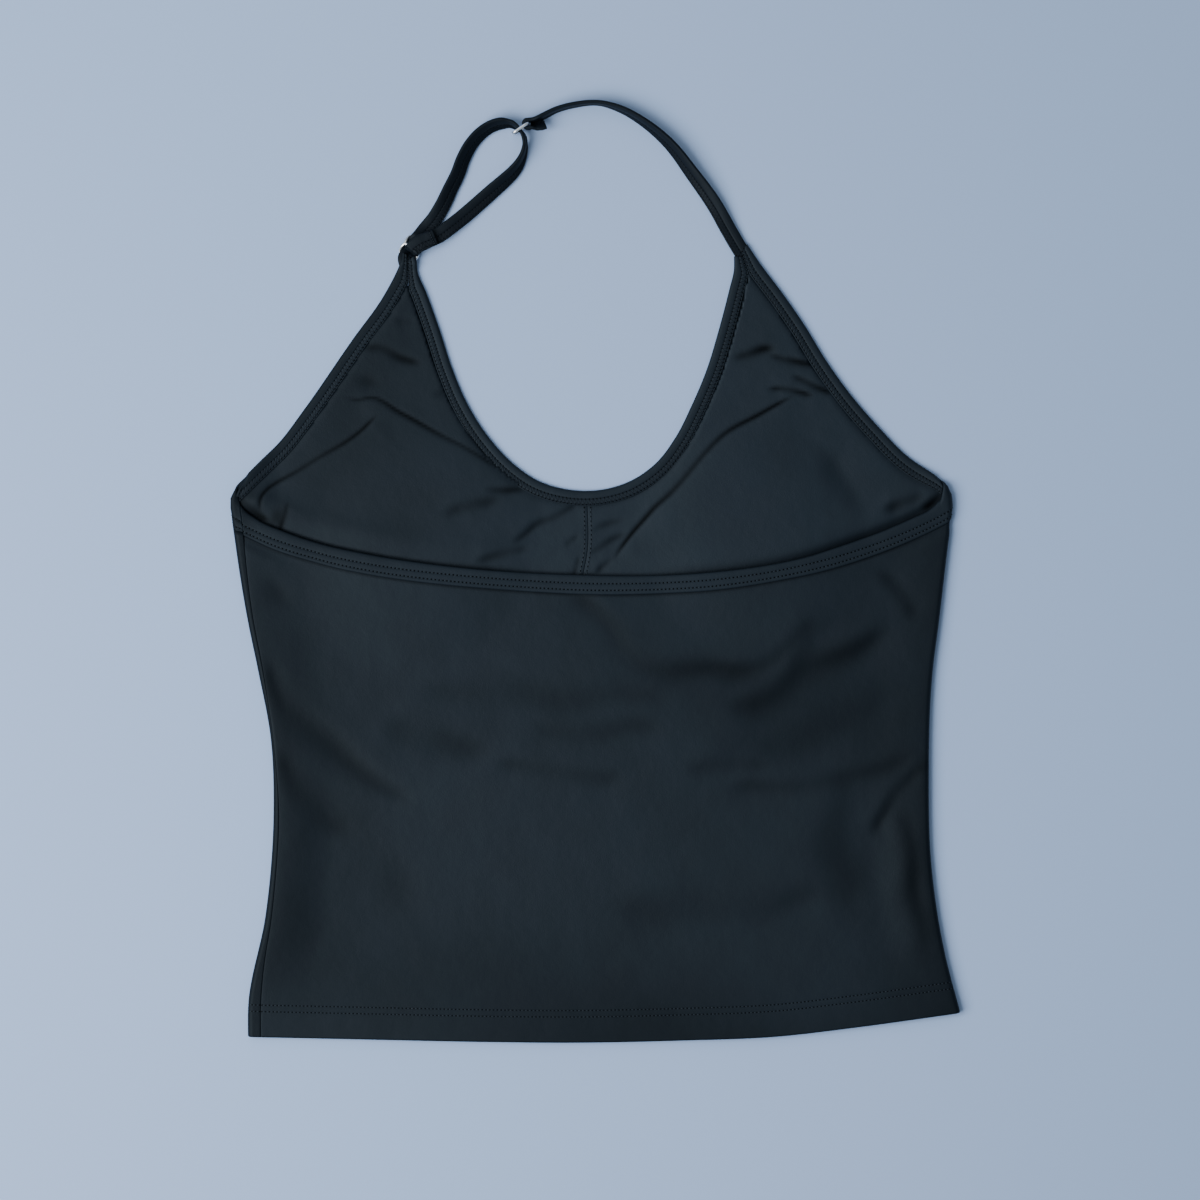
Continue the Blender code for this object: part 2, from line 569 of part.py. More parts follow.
def adjuster_strap():
    """From the left point through the slider, the upper ring and back round the slider's bar."""
    way = np.array((*unit(np.array(SLIDER_WAY)), 0))
    bar_way = np.array((way[1], -way[0], 0))
    bar = np.array((*SLIDER_CENTRE, SLIDER_LOW + SLIDER_RISE))
    turn = strap_turn(bar, (0, 0, 1), -way, -bar_way, SLIDER_PINCH, 7)
    rest = STRAP_THICKNESS / 2
    entry = (*SLIDER_CENTRE, turn[0][0][2] - rest, 180)
    leaving = (*SLIDER_CENTRE, turn[0][-1][2] - rest, 0)

    def by_slider(rows):
        return tuple((SLIDER_CENTRE[0] + along * way[0] - left * way[1],
                      SLIDER_CENTRE[1] + along * way[1] + left * way[0], lift, roll)
                     for along, left, lift, roll in rows)

    route = LOOP_START + by_slider(THROUGH_SLIDER) + LOOP_ROUTE + by_slider(BACK_TO_SLIDER)
    run = strap_run(route + (entry,), 90)
    end = strap_run((leaving,) + by_slider(DOUBLED_END), 7)
    return strap("adjuster_strap", (run, [part[1:-1] for part in turn], end))


def metal_ring(name, half_long, half_wide, leg_points, place):
    """A closed wire ring with round corners and extra points along its two legs.

    place puts a point's distance along and across the ring into the model.
    """
    points = []
    for quarter in range(4):
        middle = math.radians(90 * quarter + 45)
        corner_x = math.copysign(half_long - METAL_CORNER, math.cos(middle))
        corner_y = math.copysign(half_wide - METAL_CORNER, math.sin(middle))
        for step in range(4):
            angle = math.radians(90 * quarter + 30 * step)
            points.append(place(corner_x + METAL_CORNER * math.cos(angle),
                                corner_y + METAL_CORNER * math.sin(angle)))
        if quarter % 2 == 0:
            for share in np.linspace(1, -1, leg_points + 2)[1:-1]:
                points.append(place(corner_x * share, math.copysign(half_wide, corner_y)))
    wire = bpy.data.curves.new(name, "CURVE")
    wire.dimensions = "3D"
    wire.bevel_depth = WIRE / 2 * MM
    wire.bevel_resolution = 2
    spline = wire.splines.new("POLY")
    spline.points.add(len(points) - 1)
    for point, at in zip(spline.points, points):
        point.co = (*(np.array(at) * MM), 1)
    spline.use_cyclic_u = True
    wire.materials.append(material(name, METAL_COLOUR, 0.18, 1))
    ring = bpy.data.objects.new(name, wire)
    garment.objects.link(ring)
    return ring


def ring_upper():
    way = unit(np.array(RING_WAY))

    def place(along, up):
        return (RING_CENTRE[0] + along * way[0], RING_CENTRE[1] + along * way[1], RING_HEIGHT + up)
    return metal_ring("ring_upper", RING_HALF, RING_HALF, 0, place)


def slider():
    """A ring with an arched pair of legs and a middle bar, joined into one piece."""
    way = unit(np.array(SLIDER_WAY))

    def place(along, across):
        height = SLIDER_LOW + SLIDER_RISE * (1 - (along / SLIDER_HALF_LENGTH) ** 2) ** 2
        return (SLIDER_CENTRE[0] + along * way[0] + across * way[1],
                SLIDER_CENTRE[1] + along * way[1] - across * way[0], height)

    frame = metal_ring("slider", SLIDER_HALF_LENGTH, SLIDER_HALF_WIDTH, 3, place)
    bpy.context.view_layer.update()
    mesh = bpy.data.meshes.new_from_object(frame.evaluated_get(bpy.context.evaluated_depsgraph_get()))
    bpy.data.objects.remove(frame)
    welded = bmesh.new()
    welded.from_mesh(mesh)
    bmesh.ops.remove_doubles(welded, verts=welded.verts[:], dist=1e-6)
    welded.to_mesh(mesh)
    welded.free()
    piece = bpy.data.objects.new("slider", mesh)
    garment.objects.link(piece)

    bar = bmesh.new()
    turn = Matrix.Rotation(math.radians(90), 4, "X")
    bmesh.ops.create_cone(bar, cap_ends=True, segments=8, radius1=WIRE / 2 * MM * 0.98,
                          radius2=WIRE / 2 * MM * 0.98, depth=2 * SLIDER_HALF_WIDTH * MM, matrix=turn)
    bar_mesh = bpy.data.meshes.new("slider_bar")
    bar.to_mesh(bar_mesh)
    bar.free()
    cutter = bpy.data.objects.new("slider_bar", bar_mesh)
    cutter.location = Vector(place(0, 0)) * MM
    cutter.rotation_euler.z = math.atan2(-way[0], way[1]) - math.radians(90)
    cutter.hide_render = True
    cutter.display_type = "WIRE"
    tools.objects.link(cutter)
    union = piece.modifiers.new("middle_bar", "BOOLEAN")
    union.operation = "UNION"
    union.object = cutter
    return piece


for old in list(bpy.data.objects):
    bpy.data.objects.remove(old)
garment = bpy.data.collections.new("halter_tank_top")
tools = bpy.data.collections.new("union_tools")
bpy.context.scene.collection.children.link(garment)
bpy.context.scene.collection.children.link(tools)

front_panel()
lining("lining_left", -1)
lining("lining_right", 1)
back_panel()
binding("neck_band", NECK_EDGES, False)
binding("armhole_band_left", LEFT_ARMHOLE_EDGES, False)
binding("armhole_band_right", RIGHT_ARMHOLE_EDGES, False)
back_band()
halter_strap()
adjuster_strap()
ring_upper()
slider()
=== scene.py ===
"""Looks of the halter tank top: knit panels with their folds, bound edges, stitching and metal.

Tables and sizes are in millimetres; MM turns them into metres when a mesh is made. Most repeat
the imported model's, and the outlines, bindings, straps and slider stray from it by up to about
2.5 mm to follow the photograph more closely. The garment lies with its back up: +Y is towards
the neck strap. A point on a sheet is given by its unrolled x (its own x while the sheet is flat,
and the distance along the sheet once it has gone round a side) and its y.
"""
import math

import bpy
import numpy as np
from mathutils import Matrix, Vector


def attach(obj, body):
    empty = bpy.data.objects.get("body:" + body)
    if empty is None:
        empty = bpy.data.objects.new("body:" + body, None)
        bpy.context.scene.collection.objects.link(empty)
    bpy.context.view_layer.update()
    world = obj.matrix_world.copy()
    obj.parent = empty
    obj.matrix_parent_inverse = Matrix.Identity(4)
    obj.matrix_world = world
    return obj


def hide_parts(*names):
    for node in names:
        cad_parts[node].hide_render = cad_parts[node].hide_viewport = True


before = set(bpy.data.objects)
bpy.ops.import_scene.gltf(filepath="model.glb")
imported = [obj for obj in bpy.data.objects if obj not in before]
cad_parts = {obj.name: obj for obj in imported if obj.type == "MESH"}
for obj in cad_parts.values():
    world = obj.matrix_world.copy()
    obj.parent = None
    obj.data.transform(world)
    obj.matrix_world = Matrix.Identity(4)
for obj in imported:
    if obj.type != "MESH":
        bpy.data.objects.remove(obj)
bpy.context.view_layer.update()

MM = 0.001

# ---- layers and outlines ----

GAP = 0.4
CLOTH = 1.0
BINDING = 2.3
HEM_CLOTH = 2.2
HEM_DEPTH = 16.0
SIDE_RADIUS = 2.6
SIDE_HEIGHT = 2 * SIDE_RADIUS
HALF_TURN = math.pi * SIDE_RADIUS

# The sides and the centre seam are rows of y and x, and the hem, the lining's lower edge and the
# edges of the back's binding are rows of x and y. SEAM_INSET has the left seam's distance from
# the left side at a y. The armholes and the neck are the points of a binding's outer edge.
LEFT_SIDE = (
    (-247, -183.3), (-229, -183.2), (-181, -174), (-127, -169.8), (-87, -171.4), (-52, -178),
    (-26, -183.4), (17, -190.3), (30, -192), (36.4, -192.6), (40, -192.1), (44, -190), (50, -185.6))
RIGHT_SIDE = (
    (-234, 192.8), (-200, 184), (-154, 177.1), (-110, 175.8), (-52, 177.9), (-26, 181.2), (9, 185.3),
    (30, 187.9), (37, 188.4), (42.2, 187.4), (47, 184.6), (50, 181.4))
HEM = (
    (-183, -245.4), (-118, -246.8), (-60, -248), (-10, -248.4), (45, -247.3), (96, -245.2),
    (136, -240.6), (192.4, -232.8))
SEAM_INSET = (
    (-247, 7), (-226, 6.8), (-197, 4.2), (-165, 3.2), (-127, 3), (-87, 1.2), (-52, 2.8), (-20, 3.4),
    (24, 5.4))
LEFT_ARMHOLE = (
    (-101.7, 168.2), (-102.2, 164.6), (-104, 160.4), (-112.2, 144.9), (-128, 122.8), (-154, 85.3),
    (-166.8, 68.4), (-177.2, 58), (-183.1, 52))
RIGHT_ARMHOLE = (
    (80, 172.9), (85.9, 164), (99.5, 145.8), (109.6, 131.2), (122.8, 109.8), (136.5, 91.1), (149.7, 76),
    (165.5, 60.2), (177.2, 52.3), (181.2, 49.6), (183.6, 47.6))
NECK = (
    (-95.2, 166.6), (-94.2, 163.4), (-94.1, 160), (-89, 146.6), (-82, 127), (-75.8, 107.8), (-67.8, 89),
    (-56.4, 71), (-43, 56.6), (-30.4, 48), (-15, 43.4), (3, 43.2), (18.7, 48), (32, 57.4), (42.3, 71),
    (50.6, 87.4), (58.8, 107), (64.6, 126), (70.8, 149.7), (73, 159), (73.1, 166.3))
BACK_TOP = (
    (-188, 36.6), (-186.4, 34.2), (-178.7, 27.8), (-165, 21.5), (-150, 16.2), (-140.7, 13.6),
    (-125, 10.2), (-110, 7.4), (-90, 4.4), (-62.6, 1.3), (-40, -0.4), (-11, -1.6), (19, -2.2),
    (40, -1.7), (59, -0.5), (85, 2.5), (100, 5.1), (112, 7.9), (125, 12), (139, 16.8), (150, 20.8),
    (160, 25), (168, 28.6), (176.6, 33), (180.4, 36.6), (182.6, 40.2), (183.2, 44), (184.8, 47.4),
    (187.5, 49), (190.3, 49.2), (194.6, 48.4))
BACK_LOW = (
    (-188, 20.1), (-180, 16.3), (-170, 11.8), (-160, 8.3), (-150, 5.4), (-140, 2.6), (-120, -1.6),
    (-100, -4.7), (-80, -7), (-60, -8.8), (-40, -10.3), (-20, -11.5), (0, -12.2), (20, -12.1),
    (40, -11.4), (60, -10.2), (80, -7.7), (100, -4.2), (120, 0.1), (140, 6.1), (160, 13.5), (170, 17.8),
    (180, 22.6), (186.6, 26.2), (194.6, 31.1))
CENTRE_SEAM = ((-112, -6), (-1, -6.4), (9, -4.5), (40, -4.4))
LINING_EDGE = (
    (-170, -100), (-110, -106), (-40, -108), (30, -103), (80, -104), (130, -111), (176, -106))
BINDING_WIDTH = 8.0
# from a binding's outer edge to its inner one, where it ends at a side
CORNER = {-1: (-4.3, -15.2), 1: (-1.0, -7.2)}
CORNER_BLEND = (15, 1)  # distances from its end over which the binding turns to that
# y of the left binding's edges by the distance that they have gone round the left side
LEFT_ARMHOLE_TURN = ((0, 52), (1.5, 50.5), (4.1, 46.8), (8.2, 41.4), (9.8, 38.4), (11, 35.6))
LEFT_ARMHOLE_LOW = ((0, 36), (4.1, 23.8), (11, 19.6))
CORNER_HEIGHT = 36.0  # above it the side's outline rounds off
POINT_LIFT = 2.0  # the left point climbs onto the slider
POINT_CLIMB = (157.5, 163.5)
CORNER_LIFT = {-1: 2.7, 1: 1.2}  # how far the front's layers climb to the back's at the underarms
CORNER_CLIMB = ((166, 186), (28, 40))  # over these distances from the middle and these y
# where the front's two points end, and the tips of the cloth between their bindings
LEFT_POINT = ((-99, 160.2), (-98.6, 149.8))
RIGHT_POINT = ((76.6, 169.6), (80.6, 158.2))
PAD_HEIGHT = 1.8
PADS = ((-90, 16, 72, 56, -28), (84, 16, 72, 56, 28))  # centre, half length, half width, turn
EASE = 1.2  # air between the back and the layers below it
EASE_SPAN = (3, 30)  # distances from a side over which the back leaves its fold's height
HEM_SPREAD = (HEM_DEPTH - 4, HEM_DEPTH + 45)  # from its edge, over which the hem's thickness fades
LINING_SPREAD = (-30, 8)  # from the lining's lower edge, over which the back climbs onto it
PAD_SPREAD = (4, 16)  # distances from a side over which the pads set in

# ---- straps and metal ----
# A route's rows are x, y, how far the strap's lower side is raised, and its roll in degrees.

STRAP_WIDTH = 8.4
STRAP_THICKNESS = 2.2
PINCHED_THICKNESS = 1.4  # of the adjuster strap round the slider's bar, and of its flap there
TURNED_THICKNESS = 2.2  # of the halter strap where it goes round the ring
LOOP_THICKNESS = 1.8  # of the adjuster strap where it passes the metal
HALTER_ROUTE = (
    (80.2, 163.8, -0.5, 0), (78.2, 167, -0.3, 0), (76.1, 170.3, -0.1, 0), (69.6, 181.4, 0, -4),
    (63.6, 192.1, 0, -15), (51, 209.9, 0, -38), (38.3, 226, 0, -56), (25.6, 236.7, 0, -69),
    (12.9, 243.9, 0, -78), (2, 246.95, 0, -86), (-11, 246, 0, -84), (-21, 243.2, 0.4, -82),
    (-27.6, 239.9, 0.8, -80), (-31.6, 238.1, 1.2, -82))
HALTER_STUB = ((-32.8, 234.4, 1.6, -56), (-30.3, 235.2, 1.5, -44), (-26.8, 236.3, 1.2, -40))
LOOP_START = ((-98.8, 160, 0, 0), (-99.2, 162.2, 0.9, 0), (-99.6, 163.8, 1.8, 0))
LOOP_ROUTE = (
    (-84.9, 186.2, 0, 8), (-80.6, 193.3, 0, 20), (-76.6, 201.6, 0, 30), (-72.6, 209.8, 0, 34),
    (-69.8, 217.4, 0, 38), (-65.7, 225, 0, 42), (-60.4, 231, 0, 46), (-55, 234.6, 0, 50),
    (-49.6, 236.2, 0.2, 54), (-44.4, 235.8, 0.6, 62), (-40.2, 233, 1, 84), (-37.6, 229, 1.2, 104),
    (-37.1, 225, 0.4, 100), (-37.8, 220.4, 0, 105), (-39.8, 215.6, 0, 118), (-43.2, 210.8, 0, 134),
    (-48.6, 205.6, 0, 146), (-54.6, 200.4, 0, 156), (-61.4, 194.4, 0.2, 166), (-70.6, 186.4, 1.2, 176),
    (-77.2, 181.2, 2.4, 180))
# by the slider the first two are along its own way and to the left of it
THROUGH_SLIDER = (
    (-6.1, 0.3, 1.8, 0), (-3.6, 0.7, 0.9, 0), (0, 0.8, -0.4, 0), (3.6, 0.7, 0.9, 0), (6.1, 0.3, 1.8, 0),
    (10, 0.4, 0.3, 1))
BACK_TO_SLIDER = (
    (13.4, -7.4, 2.5, 180), (8.5, -4.3, 2.9, 180), (4.6, -1.5, 2.6, 180), (2.4, -0.3, 1.8, 180))
FLAP = ((1.6, -0.6, 5.1, 0), (4.4, -1.8, 5.3, 0), (8, -4.2, 5, 0), (11.4, -6.5, 4.7, 0))
FLAP_WIDTH = 8.4  # where the strap turns round the slider's bar

WIRE = 1.5
WIRE_GAP = 0.35
METAL_CORNER = 2.2
RING_CENTRE = (-39.4, 233.2)
RING_WAY = (-0.83, -0.56)
RING_HALF = 4.75
RING_HEIGHT = 5.8
RING_PINCH = 6.4
SLIDER_CENTRE = (-96.1, 170.2)
SLIDER_WAY = (0.55, 0.835)
SLIDER_HALF_LENGTH = 6.1
SLIDER_HALF_WIDTH = 4.2
SLIDER_BULGE = 0.75  # of its legs on either side of its bar
SLIDER_SHIFT = 0.85  # of the slider to the strap's left
SLIDER_LOW = 0.8
SLIDER_RISE = 3.4
SLIDER_PINCH = 9.2
PINCH_REACH = (6, 11)

# ---- the folds ----
# Each fold: depth and half width of its trough, height by which the cloth on the left of its way
# stands above the cloth on the right, how softly it does, how much painted shade darkens its
# hollow, and the points it runs through.

BACK_FOLDS = (
    (0.4, 7.5, 1.5, 6, 0.5, ((-18, -6), (-4, -20), (4, -28), (14, -37), (23, -44), (35, -48), (50, -50),
     (67, -51), (88, -49))),
    (0, 6, 1.2, 6, 0.1, ((92, -64), (106, -50), (114, -36), (126, -18))),
    (0.3, 6, 0.8, 5, 0.3, ((62, -60), (84, -51), (98, -42), (108, -33), (120, -20))),
    (0.5, 7.5, 1.6, 5.5, 0.5, ((70, -78), (92, -67), (108, -58), (124, -50), (138, -43), (158, -31))),
    (0.3, 4.5, 0.7, 4, 0.3, ((170, -30), (163, -18), (157, -9), (146, 5))),
    (0.4, 8, 0.5, 8, 0.24, ((-98, -66), (-61, -64), (-19, -64), (48, -63))),
    (0.5, 8, 0.7, 6, 0.36, ((-112, -79), (-95, -85), (-82, -88), (-52, -90))),
    (0.4, 7, 0.6, 6, 0.28, ((-36, -81), (2, -84), (42, -83))),
    (0.3, 5, 0.5, 4.5, 0.24, ((-56, -97), (-29, -105), (-8, -108), (20, -109))),
    (0.3, 4.5, 0.5, 4, 0.24, ((44, -102), (71, -101), (98, -101))),
    (0.3, 6, 0.9, 5, 0.3, ((70, -112), (103, -113), (124, -111), (150, -105), (172, -95))),
    (0.9, 6.5, 0.6, 6, 0.4, ((-180, -42), (-164, -65), (-150, -85), (-138, -95), (-122, -106),
     (-92, -119))),
    (0.5, 6.5, 0.4, 6, 0.3, ((-170, -92), (-156, -109), (-145, -121), (-126, -142))),
    (0.4, 5.5, 0.3, 5, 0.2, ((-179, 2), (-169, -10), (-157, -25))),
    (0.5, 3.5, 0.9, 3.5, 0.4, ((144, -141), (153, -127), (160, -116), (167, -109), (179, -99))),
    (0.3, 8, 1.1, 5, 0.45, ((173, -210), (168, -180), (167, -152), (163, -114))),
    (0.3, 9, 0.9, 8, 0.25, ((142, -184), (132, -160), (126, -136), (130, -104))),
    (0.3, 9, 0.7, 8, 0.22, ((6, -181), (50, -177), (83, -176), (128, -165))),
    (0.3, 11, 0.4, 10, 0.15, ((-137, -118), (-114, -152), (-90, -188))),
    (0.2, 10, 0.8, 9, 0.2, ((54, -98), (86, -90), (112, -84), (140, -70), (164, -52))),
    # painted shade only: broad darkening towards its sides and its hem
    (0, 42, 0, 5, 0.4, ((215, 130), (190, -20), (184, -110), (192, -200), (215, -330))),
    (0, 78, 0, 5, 0.52, ((-222, 110), (-206, -50), (-196, -150), (-222, -330))),
    (0, 34, 0, 5, 0.22, ((-420, -255), (-100, -262), (100, -262), (420, -245))),
    (0, 44, 0, 5, 0.34, ((-300, -150), (-190, -190), (-120, -215), (-20, -235), (60, -260),
     (160, -300))),
    (0, 24, 0, 5, 0.2, ((16, -60), (70, -66), (120, -70), (190, -80))),
)
LINING_FOLDS = (
    (0.4, 1.5, 1, 7, 1, ((107, 93), (97, 88.6), (86, 82.6), (70, 73), (58.4, 62), (48, 51), (38.4, 41),
     (31.4, 34.6), (25.4, 27.6), (18.8, 19.8), (13.6, 12.6), (9, 5))),
    (0.5, 2.5, 0.7, 2.6, 0.95, ((71, 113.4), (80, 115.6), (89, 118), (98, 117.4))),
    (0.5, 2.1, 0.7, 2.4, 0.95, ((90, 115.4), (98, 112.2), (106, 110.4), (119, 108))),
    (0.4, 1.8, 0.5, 2.2, 0.9, ((102, 103.4), (111, 99.4), (120, 95.6), (129, 93))),
    (0.4, 1.6, 0.5, 2.2, 0.9, ((89, 96.2), (99, 95.8), (107, 94), (117, 91.6))),
    (0.9, 3, 0.8, 3, 0.6, ((150, 31), (160, 35), (176, 40))),
    (0.6, 8, 1, 8, 0.15, ((140, 20), (134, 40), (124, 56), (112, 70))),
    (0.35, 1.2, -0.3, 7, 1, ((-134, 93), (-125, 91), (-118, 92), (-102, 83), (-82, 72), (-69, 66),
     (-50, 54))),
    (0.35, 1.2, 1, 6, 0.95, ((-113, 84), (-117, 80.4), (-124, 74), (-131, 68.8), (-148, 58.6),
     (-158, 52.4), (-167.6, 47), (-173, 43), (-176.2, 38.8), (-176.8, 34.4), (-176.4, 29))),
    (0.1, 1.4, 0, 3, 0.9, ((-161.6, 38), (-163, 31), (-165.3, 24), (-166, 18))),
    (0.1, 4.2, 0, 3, 0.6, ((-160, 38), (-165, 31), (-168.5, 25), (-171, 18))),
    (0.5, 2.4, 0, 3, 1, ((-194, 46), (-188.3, 38), (-184.5, 33.4), (-178, 29.4), (-168, 25))),
    # painted shade only, in the left underarm corner
    (0, 6, 0, 4, 0.5, ((-196, 54), (-184, 38), (-172, 26))),
    (0.6, 2.8, 0, 3, 1, ((168, 29), (175, 33.4), (180, 37.4), (184, 41.6), (190, 47))),
    (0.4, 2.4, 0.2, 3, 0.8, ((-124, 118.4), (-112, 118), (-104, 113.6), (-90, 110))),
    (0.4, 3.6, 0.1, 4, 0.35, ((-129, 106), (-119, 102), (-108, 99))),
    (0.4, 2.4, 0.3, 3, 0.2, ((-107, 131), (-101, 133), (-95, 133))),
    (0.5, 2.2, 0.3, 3, 0.2, ((-86, 92), (-82, 94), (-77, 95))),
    (0.4, 3.6, 0.5, 3.5, 0.5, ((-81, 28), (-72, 32.6), (-62, 36), (-48, 38.6))),
    (0.4, 1.9, 0.7, 2.7, 0.55, ((-45, 14.6), (-38, 19.2), (-31, 24.6), (-22, 27.8), (-15, 31.8),
     (-7, 37))),
    (0.4, 2.2, 0.5, 3, 0.45, ((-64, 4), (-55, 7.4), (-46, 10.6), (-34, 13))),
    (0.4, 2, 0.5, 2.7, 0.75, ((-60, 44), (-48, 43), (-34, 43.4))),
    (0.4, 1.8, 0.4, 2.4, 0.5, ((-4, 9.6), (3, 13.6), (9, 17.8), (19, 21.4))),
    (0.4, 1.7, 0.4, 2.2, 0.4, ((-3, 21.6), (6, 25.6), (18, 28))),
    (0.4, 1.7, 0.4, 2.2, 0.5, ((-1, -2), (4, 3), (11, 8.6))),
    (0.3, 1.6, 0.3, 2, 0.4, ((-18, 12.4), (-12.5, 17), (-7, 20))),
    (0.2, 1.3, 0, 2, 0.6, ((-13, -5), (-10.4, 2), (-8.6, 10))),
    # painted shade only: a broad darkening over the left of the lining
    (0, 85, 0, 5, 0.46, ((-134, 420), (-134, -280))),
)

# ---- visible surface ----

WALL = 0.8  # of a single layer of knit
TURNED_DEPTH = 1.9  # how deep the turned layer of a hem faces
BAND_PROUD = 0.7  # how far the bindings stand above the cloth they are sewn on
GRID = 1.9  # spacing of the points on the back
HEM_SHARE = (0.1, 44)  # share of a panel's height that its hem takes, and how many rows it gets
LINING_GRID = (1.05, 200)  # spacing of a lining's columns, and its rows
STATION = 0.6  # spacing of the points along a binding
HEM_ROWS = (13.7, 17.1)  # height of the hem's two stitch rows above its edge
SEAM_ROW = 1.7  # from the centre seam to the row on either side of it
SEAM_SPAN = (33.8, -110)  # y between which those rows run


def hermite(keys, values, at):
    """Smooth values between the rows of a table, through every one of them."""
    slopes = np.gradient(values, keys, axis=0)
    index = np.clip(np.searchsorted(keys, at, side="right") - 1, 0, len(keys) - 2)
    step = keys[index + 1] - keys[index]
    t = np.clip((at - keys[index]) / step, 0, 1)
    if values.ndim == 2:
        t = t[:, None]
        step = step[:, None]
    first = values[index] * (1 + 2 * t) * (1 - t) ** 2 + slopes[index] * step * t * (1 - t) ** 2
    second = values[index + 1] * t * t * (3 - 2 * t) + slopes[index + 1] * step * t * t * (t - 1)
    return first + second


def graph(table):
    """A function of one number that passes through (key, value) rows."""
    rows = np.array(table, float)

    def value(at):
        return hermite(rows[:, 0], rows[:, 1], np.asarray(at, float))
    return value


def path_length(line):
    """Distance passed at each point of a line."""
    return np.concatenate(([0], np.cumsum(np.linalg.norm(np.diff(line, axis=0), axis=1))))


def read_at(walk, rows, at):
    """Rows of numbers known at some distances along a line, read at others."""
    return np.stack([np.interp(at, walk, column) for column in rows.T], axis=1)


def curve(table, count):
    """Evenly spaced points on a smooth curve through the rows of a table."""
    rows = np.array(table, float)
    walk = path_length(rows[:, :2])
    fine = hermite(walk, rows, np.linspace(0, walk[-1], 40 * len(rows)))
    walk = path_length(fine[:, :2])
    return read_at(walk, fine, np.linspace(0, walk[-1], count))


def smooth(low, high, value):
    """0 below low, 1 above high, and an S between."""
    t = np.clip((value - low) / (high - low), 0, 1)
    return t * t * (3 - 2 * t)


def bell(away, width):
    """1 on a line, falling off softly on both sides of it."""
    return np.exp(-(away / width) ** 2)


def shade(amount, low, high, at):
    """A shade that sets in between two places."""
    return amount * smooth(low, high, at)


def unit(vector):
    return vector / np.linalg.norm(vector, axis=-1, keepdims=True)


left_side = graph(LEFT_SIDE)
right_side = graph(RIGHT_SIDE)
hem_edge = graph(HEM)
seam_inset = graph(SEAM_INSET)
back_top = graph(BACK_TOP)
back_low = graph(BACK_LOW)
centre_seam = graph(CENTRE_SEAM)
lining_edge = graph(LINING_EDGE)


def inside_by(x, y):
    """How far a point lies in from the nearer side of the garment."""
    return np.minimum(x - left_side(y), right_side(y) - x)


# ---- heights ----

WANDER = 0.3  # how far folds stray from their lines, as a share of their width
WANDER_WIDTH = 8.0  # wider folds stray as if they were this wide
STEP_REACH = 2.4  # how far a step is felt, as a share of its softness


def wander(at):
    """A smooth uneven offset for each of a list of points."""
    x, y = at[:, 0], at[:, 1]
    return np.stack([np.sin(x / 13.1 + y / 23.7) + 0.6 * np.sin(y / 7.3 - x / 19.1 + 2.1),
                     np.sin(y / 11.9 - x / 27.1 + 0.7) + 0.6 * np.sin(x / 8.3 + y / 21.3)], axis=1)


def nearest_on(line, at):
    """Distance of points from a line, their distance to the left of it, and its share passed there."""
    away = np.full(len(at), 1e9)
    side = np.zeros(len(at))
    share = np.zeros(len(at))
    for index, (start, end) in enumerate(zip(line[:-1], line[1:])):
        run = end - start
        t = np.clip((at - start) @ run / (run @ run), 0, 1)
        off = at - start - t[:, None] * run
        distance = np.hypot(off[:, 0], off[:, 1])
        nearer = distance < away
        turn = run[0] * (at[:, 1] - start[1]) - run[1] * (at[:, 0] - start[0])
        away = np.where(nearer, distance, away)
        side = np.where(nearer, turn / np.hypot(*run), side)
        share = np.where(nearer, (index + t) / (len(line) - 1), share)
    return away, side, share


def folded(table, x, y):
    """Height that a table of folds adds at x, y, and how much painted shade darkens their hollows."""
    height = np.zeros(np.shape(x))
    painted_shade = np.zeros(np.shape(x))
    for trough, width, step, softness, tone, points in table:
        line = curve(points, 6 * len(points))
        margin = 3 * max(width, STEP_REACH * softness)
        low = line.min(axis=0) - margin
        high = line.max(axis=0) + margin
        near = (x > low[0]) & (x < high[0]) & (y > low[1]) & (y < high[1])
        if not near.any():
            continue
        at = np.stack([x[near], y[near]], axis=1)
        away, side, share = nearest_on(line, at + WANDER * min(width, WANDER_WIDTH) * wander(at))
        taper = np.clip((3 + 2 * width) / path_length(line)[-1], 0.1, 0.45)
        ends = smooth(0, taper, share) * smooth(0, taper, 1 - share)
        ends = ends * (0.8 + 0.2 * np.sin(9 * share + points[0][0]))
        valley = bell(away, width * (0.65 + 0.35 * np.sin(math.pi * share)))
        stepped = np.tanh(side / softness) * bell(away, STEP_REACH * softness)
        height[near] += ends * (step / 2 * stepped - trough * valley)
        painted_shade[near] += (1 - painted_shade[near]) * ends * tone * valley
    return height, painted_shade


def pad_height(x, y):
    """Rise of the lining over its cup pads."""
    height = 0 * x
    for centre_x, centre_y, half_length, half_width, turn in PADS:
        angle = math.radians(turn)
        along = (x - centre_x) * math.cos(angle) + (y - centre_y) * math.sin(angle)
        across = (y - centre_y) * math.cos(angle) - (x - centre_x) * math.sin(angle)
        reach = (across / half_length) ** 2 + (along / half_width) ** 2
        height = height + PAD_HEIGHT * smooth(-0.15, 1.1, 1 - reach)
    return height


def corner_lift(x, y):
    """How far the front's layers have climbed towards the underarm corners."""
    rise = np.where(x < 0, CORNER_LIFT[-1], CORNER_LIFT[1])
    return rise * smooth(*CORNER_CLIMB[0], np.abs(x)) * smooth(*CORNER_CLIMB[1], y)


def lining_top(x, y):
    return BINDING + smooth(*PAD_SPREAD, inside_by(x, y)) * pad_height(x, y)


